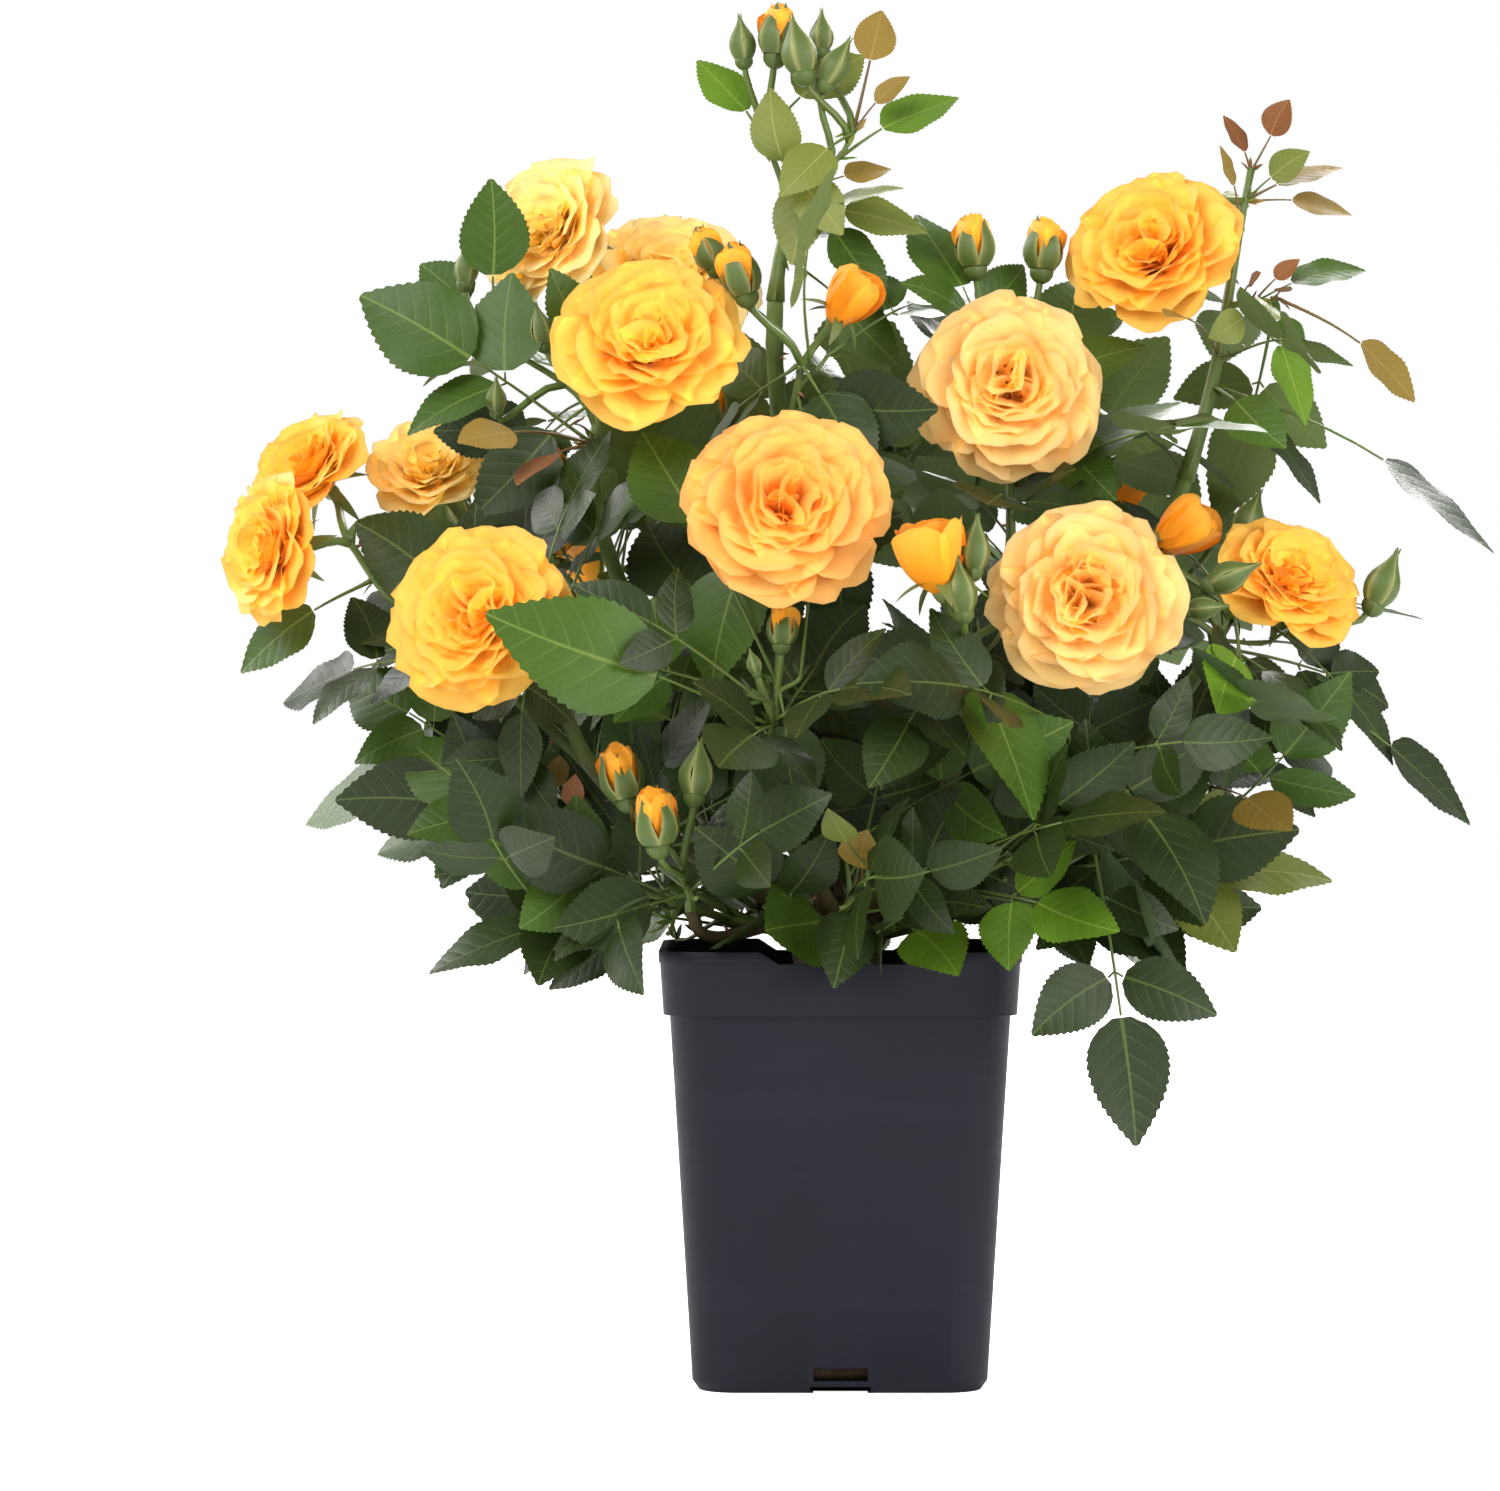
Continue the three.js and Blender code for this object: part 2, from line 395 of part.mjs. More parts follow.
function makeBloom(bloom, wood) {
  const { curve, faces, radius } = stalkOf(bloom, wood);
  const cut = STALK.spray + GAP / curve.getLength();
  const head = flowerHead(bloom, radius)
    .applyQuaternion(new THREE.Quaternion().setFromUnitVectors(UP, faces)).translate(...bloom.at);
  return limb(curve, [STALK.radius, STALK.radius], { sides: 4, steps: 2, from: cut }).add(solid(head));
}

// ---- buds: a hip, a neck and a pointed body ----
function makeBud([x, y, z, way, length], wood) {
  const middle = new THREE.Vector3(x, y, z);
  const rise = heading(way);
  const half = length / 2;
  const foot = middle.clone().addScaledVector(rise, -0.7 * half);
  const root = rootFor(wood, foot, BUD.stalk);
  const stalk = bend(root.at, foot.clone().sub(root.at).normalize().add(root.along).normalize(), foot, rise);
  const profile = [[0, -1], [0.24, -0.75], [0.2, -0.5], [0.46, -0.05], [0.2, 0.55], [0, 1]];
  const body = shaped(new THREE.LatheGeometry(profile.map(([r, h]) => new THREE.Vector2(r, h)), 5),
    (p) => new THREE.Vector3(p.x, -p.z, p.y).multiplyScalar(half))
    .applyQuaternion(new THREE.Quaternion().setFromUnitVectors(UP, rise)).translate(...middle);
  return [limb(stalk, [BUD.radius, BUD.radius], { sides: 3, steps: 2 }), solid(body)];
}

// ---- compound leaves ----
// A leaf that grows from root to tip: its frame, and its outline in that frame. It has an end
// leaflet of about that size and one or two pairs of side leaflets.
function leafPlan(root, tip, size, pairCount, roll) {
  const reach = tip.clone().sub(root);
  const length = reach.length();
  const way = reach.divideScalar(length);
  const outward = root.clone().add(tip).multiplyScalar(0.5).sub(PLANT_HEART).normalize();
  const front = tip.y < 60 ? -0.55 : 0.1;
  const light = outward.multiplyScalar(0.6).add(new THREE.Vector3(0, front, 0.5));
  const lift = light.addScaledVector(way, -light.dot(way)).normalize().applyAxisAngle(way, roll);
  const side = lift.clone().cross(way);
  const blade = Math.min(size, length * 0.62);
  const joint = length - blade;
  const pairs = [[0.28, 0.8], [0.95, 0.66]].slice(0, pairCount).reverse()
    .map(([back, scale]) => [joint - back * blade, scale * blade])
    .filter(([start]) => start > 0.16 * length);
  const half = LEAF.rachis;
  const edge = pairs.flatMap(([start, span]) => [
    [start - half, half], sideways(start, span, LEAF.width / 2), [start + 0.5 * span, 0.866 * span],
    sideways(start, span, -LEAF.width / 2), [start + half, half]]);
  const outline = [[-LEAF.sink, half], ...edge, [joint + 0.44 * blade, LEAF.width * blade * 0.5]];
  const plan = { root, way, side, lift, length, joint, outline };
  const blades = [[joint, 1, 0, blade], ...pairs.flatMap(([start, span]) => [[start, 0.5, 0.866, span], [start, 0.5, -0.866, span]])];
  plan.spots = [leafPoint(plan, joint * 0.4, 0)];
  for (const [start, ahead, aside, span] of blades) {
    for (const [t, wide] of [[0.2, 0.2], [0.5, 0.3], [0.75, 0.2], [1, 0]]) {
      for (const s of wide ? [-wide, 0, wide] : [0]) {
        plan.spots.push(leafPoint(plan, start + span * (t * ahead - s * aside), span * (t * aside + s * ahead)));
      }
    }
  }
  return plan;
}

// A point a little less than half way along a side leaflet, that far from its midrib.
function sideways(start, span, offset) {
  return [start + span * (0.22 - 0.866 * offset), span * (0.38 + 0.5 * offset)];
}

// Where a point of the leaf's outline goes: the stalk arches, side leaflets droop, the end one folds.
function leafPoint({ root, way, side, lift, length, joint }, along, across, height = 0) {
  const arch = LEAF.arch * length * Math.sin((Math.PI * Math.max(0, along)) / length);
  const bent = along > joint ? LEAF.fold * Math.abs(across) : -LEAF.droop * Math.abs(across);
  return root.clone().addScaledVector(way, along).addScaledVector(side, across).addScaledVector(lift, arch + bent + height);
}

function makeLeaf(plan) {
  const half = [...plan.outline, [plan.length, 0]];
  const whole = [...plan.outline.map(([u, v]) => [u, -v]), ...half.toReversed()];
  const shape = new THREE.Shape(whole.map(([u, v]) => new THREE.Vector2(u, v)));
  return solid(shaped(new THREE.ExtrudeGeometry(shape, { depth: LEAF.thick, steps: 1, bevelEnabled: false }),
    (p) => leafPoint(plan, p.x, p.y, p.z - LEAF.thick / 2)));
}

const ROOM = 9; // the room that a spot of a leaf wants
const flowers = BLOOMS.map(({ at, faces, across }) => ({ middle: vector(at), faces: heading(faces), radius: across / 2 }));
const nearPot = (p) => p.z < POT.height + 3 && Math.max(Math.abs(p.x), Math.abs(p.y)) < POT.rim + 4;

// How badly a leaf lies: in the pot, in a flower, in front of one, or close to what is there.
function crowding(plan, taken, strict) {
  let count = 0;
  for (const p of plan.spots) {
    if (nearPot(p)) count += 6;
    if (strict && (p.y < FRONT || p.clone().sub(CROWN.middle).divide(CROWN.reach).length() > 1)) count += 3;
    for (const { middle, faces, radius } of flowers) {
      const away = p.clone().sub(middle);
      const ahead = away.dot(faces);
      const aside = Math.sqrt(Math.max(0, away.lengthSq() - ahead * ahead));
      if (Math.abs(ahead) < radius * 0.45 && aside < radius * 1.05) count += 4;
      else if (strict && ahead > 0 && ahead < 150 && aside < radius) count += 3;
    }
    if (p.distanceTo(plan.root) < ROOM * 1.5) continue;
    for (const q of taken) if (p.distanceToSquared(q) < ROOM * ROOM) count += 1;
  }
  return count;
}

// The leaves of a spray: first the placed ones, then those of the rule, which turn round the stem.
// Each is tried at a few depths and turns, and stays where it has the most room.
function leavesOf(row, number, wood, taken) {
  const plans = [];
  const settle = (choices, limit) => {
    const counts = choices.map((plan) => crowding(plan, taken, limit < Infinity));
    const least = Math.min(...counts);
    if (least > limit) return;
    const best = choices[counts.indexOf(least)];
    plans.push(best);
    taken.push(...best.spots);
  };
  for (const [k, [x, y, z, size, pairs]] of row.leaves.entries()) {
    const turn = (chance(number, k, 1) - 0.5) * 0.4;
    settle([0, -9, 9, -18, 18, 27, -27].flatMap((shift) => (pairs ? [LEAF.reach, 1.8, 2.8] : [1.5, 1.9]).flatMap((reach) => [0, 0.45, -0.45].map((roll) => {
      const tip = new THREE.Vector3(x, y + shift, z);
      return leafPlan(rootFor(wood, tip, size * reach).at, tip, size, pairs, turn + roll);
    }))), Infinity);
  }
  const stem = wood[0].curve;
  for (let k = 0; k < row.more; k++) {
    const share = 0.2 + (0.75 * (k + 0.5)) / row.more;
    const root = stem.getPoint(share);
    const along = stem.getTangent(share);
    const outward = root.clone().sub(PLANT_HEART).normalize();
    const size = LEAF.size * mix(0.8, 1.05, chance(number, k, 2));
    settle([0, 1, 2, 3, 4, 5].flatMap((turn) => [0.1, 0.7].map((climb) => {
      const side = UP.clone().cross(along).normalize().applyAxisAngle(along, number + GOLDEN * k + turn * 1.05);
      const way = side.addScaledVector(outward, 0.6).addScaledVector(UP, climb).normalize();
      return leafPlan(root, root.clone().addScaledVector(way, size * LEAF.reach), size, 1, (chance(number, k, 3) - 0.5) * 0.8);
    })), 8);
  }
  return plans;
}

// ---- the whole plant ----
const plant = new THREE.Group();
const placed = []; // every finished solid with its box, which later ones keep clear of

function keep(name, made, material) {
  placed.push({ name, made, material });
  return made;
}

function touches(made, others) {
  const { min, max } = made.boundingBox();
  return others.find(({ made: other }) => {
    const box = other.boundingBox();
    return [0, 1, 2].every((k) => min[k] - GAP < box.max[k] && max[k] + GAP > box.min[k]) && made.minGap(other, GAP * 2) < GAP * 0.9;
  });
}

keep("pot", makePot(), "pot");
keep("soil", makeSoil(), "soil");
keep("graft_union", makeUnion(), "cane");
for (const { name, from, curve, radius } of Object.values(limbCurve)) {
  const parent = from === "union" ? makeUnion(GAP) : limb(limbCurve[from].curve, limbCurve[from].radius, { sides: 5, steps: 4, grow: GAP * 1.3 });
  keep(`cane_${name}`, limb(curve, radius, { sides: 5, steps: 4 }).subtract(parent), "cane");
}
const woods = Object.fromEntries(SPRAYS.map((row) => [row.name, woodOf(row)]));
for (const bloom of BLOOMS) keep(`bloom_${bloom.name}`, makeBloom(bloom, woods[bloom.on]), "petal");

const sprays = SPRAYS.map((row) => {
  const wood = woods[row.name];
  const pieces = wood.map(({ curve, radius, from }) => limb(curve, [radius[0] * 1.15, radius[1] * 1.15], { sides: 3, steps: 3, from }));
  for (const bloom of BLOOMS.filter(({ on }) => on === row.name)) {
    pieces.push(limb(stalkOf(bloom, wood).curve, [STALK.radius, STALK.radius], { sides: 4, steps: 2, to: STALK.spray }));
  }
  for (const bud of row.buds) pieces.push(...makeBud(bud, wood));
  let made = joined(pieces);
  if (row.on === "union") made = made.subtract(makeUnion(GAP));
  return { name: `spray_${row.name}`, made, material: "leaf" };
});
const alongCurve = (curve) => Array.from({ length: 16 }, (_, k) => curve.getPoint((k + 0.5) / 16));
const taken = Object.values(limbCurve).flatMap(({ curve }) => alongCurve(curve));
for (const row of SPRAYS) for (const { curve } of woods[row.name]) taken.push(...alongCurve(curve));
for (const bloom of BLOOMS) taken.push(...alongCurve(stalkOf(bloom, woods[bloom.on]).curve));
for (const [number, row] of SPRAYS.entries()) {
  const spray = sprays[number];
  const others = [...placed, ...sprays.filter((other) => other !== spray)];
  for (const [k, plan] of leavesOf(row, number, woods[row.name], taken).entries()) {
    const leaf = makeLeaf(plan);
    const grown = spray.made.add(leaf);
    const costly = k >= row.leaves.length && grown.numTri() > spray.made.numTri() + 96;
    if (!costly && !touches(leaf, others) && sound(grown)) spray.made = grown;
  }
}
placed.push(...sprays);

for (const { name, made, material } of placed) {
  const { numProp, vertProperties, triVerts } = made.getMesh();
  const geometry = new THREE.BufferGeometry()
    .setAttribute("position", new THREE.InterleavedBufferAttribute(new THREE.InterleavedBuffer(vertProperties, numProp), 3, 0))
    .setIndex(new THREE.BufferAttribute(triVerts, 1));
  const mesh = new THREE.Mesh(geometry.toNonIndexed(), MATERIAL[material]);
  mesh.geometry.computeVertexNormals();
  mesh.name = name;
  plant.add(mesh);
}

export default plant;
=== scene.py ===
"""A shrub rose in full bloom in a square nursery pot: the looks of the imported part.

Shapes are worked out in millimetres, in the part's frame, and made in metres.
"""
import math

import bpy
import numpy as np
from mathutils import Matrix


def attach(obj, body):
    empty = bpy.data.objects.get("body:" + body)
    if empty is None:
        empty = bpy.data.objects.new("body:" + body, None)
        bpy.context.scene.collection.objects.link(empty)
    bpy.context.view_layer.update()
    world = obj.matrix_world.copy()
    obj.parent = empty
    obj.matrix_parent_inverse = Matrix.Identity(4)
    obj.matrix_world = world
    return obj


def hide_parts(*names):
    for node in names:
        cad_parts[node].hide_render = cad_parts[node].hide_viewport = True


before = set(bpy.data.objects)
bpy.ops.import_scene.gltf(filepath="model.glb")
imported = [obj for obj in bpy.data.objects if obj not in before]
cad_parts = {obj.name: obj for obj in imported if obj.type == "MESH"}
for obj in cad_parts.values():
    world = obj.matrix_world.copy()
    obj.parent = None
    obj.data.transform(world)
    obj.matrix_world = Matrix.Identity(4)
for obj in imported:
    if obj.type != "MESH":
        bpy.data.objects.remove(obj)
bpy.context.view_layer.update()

MM = 0.001
GAP = 0.35
SEED = 7
GOLDEN = math.pi * (3 - math.sqrt(5))
scene = bpy.context.scene


def vec(*numbers):
    return np.array(numbers, float)


def unit(vector):
    return vector / np.linalg.norm(vector)


def mix(low, high, share):
    return low + (high - low) * share


def spin(vector, axis, angle):
    """The vector turned round the unit axis."""
    return (
        vector * math.cos(angle)
        + np.cross(axis, vector) * math.sin(angle)
        + axis * np.dot(axis, vector) * (1 - math.cos(angle))
    )


def linear(code):
    """A hex colour as linear RGBA."""
    parts = [int(code[k:k + 2], 16) / 255 for k in (1, 3, 5)]
    return (*[p / 12.92 if p < 0.04045 else ((p + 0.055) / 1.055) ** 2.4 for p in parts], 1.0)


def chance(*keys):
    """A number from 0 to 1 that depends only on the keys."""
    state = 2166136261
    for key in keys:
        state = ((state ^ key) * 1664525 + 1013904223) & 0xFFFFFFFF
    state = ((state ^ (state >> 15)) * 1664525 + 1013904223) & 0xFFFFFFFF
    return (state >> 8) / 16777216


# ---- camera ----
EYE = vec(-45, -2600, 322)
LENS = 122.1

camera = bpy.data.objects.new("camera", bpy.data.cameras.new("camera"))
camera.data.lens = LENS
camera.data.sensor_width = 36
camera.data.clip_end = 50
camera.location = EYE * MM
camera.rotation_euler = (math.pi / 2, 0, 0)
scene.collection.objects.link(camera)
scene.camera = camera

# ---- driving dimensions, the same as the part's ----
POT = {"height": 220, "rim": 90.5, "shoulder": 85, "foot": 74, "wall": 2, "floor": 3.2, "corner": 0.27,
       "collar": 32, "lip": 6}
DRAIN = {"width": 27, "height": 3.6, "depth": 38, "slot": 6.4, "pad": 2.6}
RIM_NOTCH = {"top": 82, "bottom": 62, "depth": 6}
SOIL_TOP = 198
UNION = {"heart": 222, "width": 24, "height": 22, "flare": 30}
LEAF = {"size": 66, "droop": 0.15, "arch": 0.07, "rachis": 1.15, "reach": 2.2}
CROWN_MIDDLE = vec(10, 0, 420)
CROWN_REACH = vec(300, 225, 265)
FRONT = -200
PLANT_HEART = vec(0, 0, 300)
UP = vec(0, 0, 1)
# ROOM: how far the spots of two leaves should stay apart. BUD_CLEAR: how far from a bud's middle
# a leaf should pass, seen from the front.
ROOM = 9
BUD_CLEAR = 17
BUD_STALK = 42
# How far behind its middle a flower and a cup sit on their stalks, in radii.
BLOOM_SEAT = 0.34
CUP_SEAT = 0.8
# How far along its parent a forked limb and a side twig start.
FORK = 0.72
TWIG = 0.55
# The length of tube that takes up one height of its chart.
CHART = 40
COLLAR_FOOT = POT["height"] - POT["collar"]

# from: the limb that this one forks off. Without it the limb leaves the graft union at aim, which
# is a compass angle and a rise in degrees. tip and rise: where the limb ends and which way it
# points there. radius: at its root and tip.
LIMBS = [
    {"name": "left", "aim": [190, 34], "tip": [-140, -60, 350], "rise": [-0.2, 0, 1],
     "radius": [5.2, 3.6]},
    {"name": "far_left", "from": "left", "tip": [-222, -30, 393], "rise": [-0.8, 0.1, 0.6],
     "radius": [3.2, 2.6]},
    {"name": "upper_left", "aim": [150, 68], "tip": [-125, -15, 462], "rise": [-0.05, 0, 1],
     "radius": [5.2, 3.4]},
    {"name": "tall", "aim": [60, 72], "tip": [-32, 10, 550], "rise": [0.05, 0, 1], "radius": [5.6, 4.2]},
    {"name": "middle", "from": "tall", "tip": [-24, -36, 480], "rise": [0, -0.1, 1],
     "radius": [3.2, 2.6]},
    {"name": "centre", "aim": [262, 34], "tip": [-34, -92, 322], "rise": [0.1, 0, 1], "radius": [5, 3]},
    {"name": "right_front", "aim": [300, 34], "tip": [61, -92, 345], "rise": [0, 0, 1], "radius": [5, 3]},
    {"name": "tall_right", "aim": [330, 66], "tip": [179, 20, 459], "rise": [0.35, 0, 1],
     "radius": [5.6, 4.2]},
    {"name": "centre_right", "from": "tall_right", "tip": [88, -5, 417], "rise": [0, 0, 1],
     "radius": [3.4, 2.8]},
    {"name": "right_low", "aim": [345, 34], "tip": [185, -30, 365], "rise": [0.5, 0.1, 0.85],
     "radius": [5, 3.4]},
    {"name": "short_front", "aim": [226, 30], "tip": [-74, -74, 240], "rise": [-0.1, -0.1, 1],
     "radius": [4, 2.8]},
    {"name": "back_left", "aim": [140, 34], "tip": [-110, 110, 360], "rise": [-0.3, 0.3, 1],
     "radius": [5.2, 3.6]},
    {"name": "back_right", "aim": [48, 34], "tip": [105, 115, 370], "rise": [0.3, 0.3, 1],
     "radius": [5.2, 3.6]},
    {"name": "back", "aim": [95, 34], "tip": [5, 135, 385], "rise": [0, 0.3, 1], "radius": [5.2, 3.6]},
]

# A spray carries on from the limb of its name, or leaves the graft union at aim. crown: the stem's
# end. twigs: ends of side twigs. more: leaves that the rule adds on the stem. fine: fine twigs with
# small leaves that it adds. tint: the leaves' own, where their row has none.
# leaves: the tip of each placed leaf, its end leaflet's length, pairs of side leaflets, its tint
# and how strongly it faces the front. young: small leaves of the last growth, in the same form.
# buds: middle, heading, length, how far open.
SPRAYS = [
    {"name": "left", "crown": [-152, -62, 374], "more": 2, "fine": 3, "tint": "dark",
     "leaves": [[-245, -50, 435, 62, 1], [-160, -60, 296, 44, 1], [-182, -60, 262, 46, 1]]},
    {"name": "far_left", "crown": [-250, -26, 428], "more": 0, "fine": 0, "tint": "mid",
     "leaves": [[-304, -42, 359, 52, 0]]},
    {"name": "upper_left", "crown": [-120, -16, 504], "twigs": [[-186, 0, 545]], "more": 1, "fine": 3,
     "tint": "mid",
     "leaves": [[-244, -22, 553, 70, 1], [-177, -12, 611, 52, 0], [-146, -26, 563, 44, 0],
                [-216, 2, 572, 44, 0], [-162, -66, 453, 36, 0, "red"], [-190, -62, 472, 38, 0, "tan"],
                [-186, -30, 438, 60, 0, "dark"], [-208, -18, 484, 54, 0, "dark"]],
     "young": [[-136, -70, 480, 22, 0, "red"], [-212, -8, 505, 30, 0, "olive", 0.2]],
     "buds": [[-190, 0, 566, [0.1, 0, 1], 24, 0], [-151, -22, 533, [-0.2, -0.2, 1], 24, 0],
              [-173, -32, 497, [0, -0.2, 1], 20, 0]]},
    {"name": "tall", "crown": [-17, 5, 628], "twigs": [[-38, 5, 640], [8, 2, 636]], "more": 0, "fine": 0,
     "tint": "olive",
     "leaves": [[62, 8, 656, 46, 0, "bright", 1.6], [23, 20, 702, 34, 0, "tan"], [14, 4, 680, 48, 0],
                [46, 4, 586, 46, 0], [32, 8, 516, 54, 0, "mid"], [-24, -14, 566, 44, 0],
                [-72, 12, 676, 42, 0, "bright"], [33, 4, 607, 44, 0], [-30, -10, 602, 40, 0],
                [26, 6, 545, 52, 0, "mid"], [-34, 4, 658, 40, 0], [2, -8, 580, 38, 0]],
     "young": [[28, 16, 619, 28, 0, "tan"], [36, 12, 664, 24, 0, "tan"], [4, -16, 584, 22, 0, "dark"]],
     "buds": [[-31, 5, 686, [0.1, 0, 1], 34, 0.4], [-49, 10, 682, [-0.1, 0, 1], 26, 0],
              [-20, -10, 675, [-0.2, 0, 1], 34, 0], [-2, -5, 668, [0.5, 0, 0.9], 30, 0],
              [-8, 22, 688, [0, 0.1, 1], 24, 0]]},
    {"name": "middle", "crown": [-19, -44, 514], "more": 1, "fine": 1, "tint": "mid",
     "leaves": [[6, -20, 372, 60, 1, "dark"], [-66, -108, 350, 64, 0, "mid", 2.4],
                [48, -60, 490, 62, 1, "dark"], [14, -70, 452, 58, 0, "dark"], [-80, 0, 460, 54, 1],
                [18, 30, 486, 50, 1, "dark"]],
     "buds": [[-50, -66, 557, [-0.3, -0.1, 1], 34, 0.45], [-66, -46, 570, [-0.4, 0, 0.9], 28, 0.35]]},
    {"name": "centre", "crown": [-31, -95, 352], "more": 2, "fine": 3, "tint": "dark",
     "leaves": [[-172, -124, 388, 92, 0, "mid", 2.4], [-99, -84, 481, 62, 0, "mid", 1.6],
                [-20, -110, 285, 50, 1], [-60, -192, 312, 54, 1], [14, -20, 394, 58, 1, "dark", 1.6],
                [-66, -30, 404, 56, 1]],
     "buds": [[-29, -98, 380, [0.05, 0, 1], 26, 0.6], [-43, -102, 362, [-0.3, 0, 1], 14, 0]]},
    {"name": "right_front", "crown": [60, -94, 372], "more": 2, "fine": 3, "tint": "dark",
     "leaves": [[94, -142, 287, 82, 0, "mid", 2.4], [18, -122, 300, 60, 1], [24, -30, 384, 60, 1],
                [66, -24, 402, 56, 1], [96, -40, 356, 58, 1]],
     "buds": [[64, -128, 417, [0.1, 0, 1], 30, 0], [57, -142, 396, [-0.1, -0.1, 1], 30, 0]]},
    {"name": "centre_right", "crown": [88, 6, 500], "more": 1, "fine": 4, "tint": "mid",
     "leaves": [[70, -88, 438, 56, 1, "dark"], [173, -22, 500, 74, 1], [140, -60, 446, 52, 1]],
     "buds": [[70, 10, 578, [-0.05, 0, 1], 34, 0.6], [106, 15, 577, [0.1, 0, 1], 34, 0.55]]},
    {"name": "tall_right", "crown": [214, 28, 620], "twigs": [[225, 10, 552]], "more": 1, "fine": 3,
     "tint": "mid",
     "leaves": [[338, 10, 421, 76, 0, "dark", 0.35], [299, 20, 500, 44, 0, "tan", 0.15],
                [241, 0, 486, 46, 0, "bright", 1.8], [249, 6, 447, 56, 0, "dark", 0.35],
                [226, 0, 473, 46, 0], [261, 28, 622, 38, 0, "tan"], [200, 40, 440, 60, 1]],
     "young": [[163, -46, 538, 27, 0, "tan"], [188, -16, 529, 26, 0, "olive"],
               [218, 0, 539, 28, 0, "olive"], [234, 28, 656, 24, 0, "red"], [200, 28, 648, 26, 0, "red"],
               [196, 28, 630, 24, 0, "tan"], [242, 28, 627, 26, 0, "olive"],
               [206, 26, 612, 22, 0, "olive"], [266, 26, 596, 34, 0, "tan", 0.4],
               [272, 20, 570, 42, 0, "mid", 0.4], [237, 20, 572, 18, 0, "red"],
               [216, 10, 564, 14, 0, "red"], [230, 10, 556, 14, 0, "red"], [238, 4, 524, 24, 0]]},
    {"name": "right_low", "crown": [200, -27, 388], "more": 1, "fine": 4, "tint": "dark",
     "leaves": [[287, 20, 343, 52, 1], [323, -10, 282, 62, 0, "dark", 0.2], [252, -42, 322, 60, 0],
                [190, -70, 300, 60, 1], [184, -92, 337, 52, 0, "bright"]],
     "buds": [[194, -62, 406, [0.9, -0.2, 0.4], 30, 0], [277, -10, 404, [0.45, 0, 1], 34, 0],
              [180, -74, 390, [1, -0.1, 0.1], 22, 0], [212, 22, 438, [0.4, 0.1, 1], 30, 0]]},
    {"name": "short_front", "crown": [-79, -86, 266], "more": 0, "fine": 2, "tint": "dark",
     "leaves": [[-142, -92, 232, 60, 1, "dark", 1.8]],
     "buds": [[-91, -115, 284, [-0.1, -0.1, 1], 34, 0.9], [-108, -97, 306, [-0.25, 0, 1], 34, 0.8],
              [-71, -104, 308, [0.1, 0, 1], 32, 0.1]]},
    {"name": "back_left", "crown": [-128, 132, 396], "twigs": [[-190, 90, 420]], "more": 5, "fine": 6,
     "tint": "mid",
     "buds": [[-150, 90, 470, [-0.2, 0, 1], 32, 0.5], [-200, 96, 448, [-0.4, 0, 1], 28, 0]]},
    {"name": "back_right", "crown": [122, 138, 408], "twigs": [[185, 95, 410]], "more": 5, "fine": 6,
     "tint": "mid",
     "buds": [[112, 110, 480, [0, 0, 1], 32, 0.6], [205, 96, 440, [0.4, 0, 1], 28, 0]]},
    {"name": "back", "crown": [4, 160, 432], "twigs": [[-50, 120, 470]], "more": 5, "fine": 6,
     "tint": "mid",
     "buds": [[-62, 120, 505, [-0.2, 0, 1], 34, 0.6], [40, 130, 490, [0.3, 0, 1], 30, 0.1]]},
    {"name": "skirt_front_left", "aim": [205, 8], "crown": [-138, -62, 262], "more": 1, "fine": 4,
     "tint": "dark",
     "leaves": [[-208, -50, 212, 60, 1], [-174, -72, 288, 68, 1, "dark", 1.8], [-147, -62, 200, 48, 0],
                [-99, -104, 202, 50, 1]],
     "young": [[-142, -56, 318, 22, 0, "tan"], [-132, -60, 308, 18, 0, "red"]]},
    {"name": "skirt_left", "aim": [175, 8], "crown": [-165, -22, 322], "more": 1, "fine": 4,
     "tint": "dark",
     "leaves": [[-256, -22, 294, 64, 1], [-240, 34, 268, 58, 1, "mid"], [-277, 24, 282, 60, 0, "mid"],
                [-211, -20, 345, 50, 1]]},
    {"name": "skirt_front", "aim": [262, 8], "crown": [14, -106, 262], "more": 1, "fine": 3,
     "tint": "dark",
     "leaves": [[-39, -136, 231, 68, 1, "mid", 2.4], [66, -124, 246, 54, 1], [-4, -120, 206, 48, 0],
                [-72, -112, 282, 60, 1], [36, -198, 262, 58, 1]],
     "young": [[12, -132, 280, 32, 0, "tan"], [-8, -124, 290, 26, 0, "olive"]]},
    {"name": "skirt_front_right", "aim": [295, 8], "crown": [98, -90, 274], "more": 1, "fine": 3,
     "tint": "dark",
     "leaves": [[56, -118, 211, 54, 0, "bright"], [134, -112, 232, 52, 1, "bright"],
                [128, -96, 300, 56, 1], [62, -112, 300, 54, 1]]},
    {"name": "skirt_right", "aim": [325, 8], "crown": [132, -84, 312], "more": 1, "fine": 4,
     "tint": "dark",
     "leaves": [[144, -106, 125, 66, 1], [176, -146, 238, 70, 0]]},
    {"name": "skirt_far_right", "aim": [0, 8], "crown": [190, -22, 302], "more": 2, "fine": 6,
     "tint": "dark",
     "leaves": [[250, -30, 258, 60, 1, "olive"], [230, -56, 280, 60, 1], [220, 32, 238, 60, 1]],
     "young": [[222, -66, 280, 44, 0, "tan"]]},
    {"name": "skirt_back_right", "aim": [50, 8], "crown": [120, 108, 288], "more": 5, "fine": 7,
     "tint": "dark"},
    {"name": "skirt_back", "aim": [90, 8], "crown": [4, 150, 284], "more": 5, "fine": 7, "tint": "dark",
     "leaves": [[-62, 48, 240, 56, 1], [-20, 64, 246, 56, 1], [46, 56, 240, 56, 1]]},
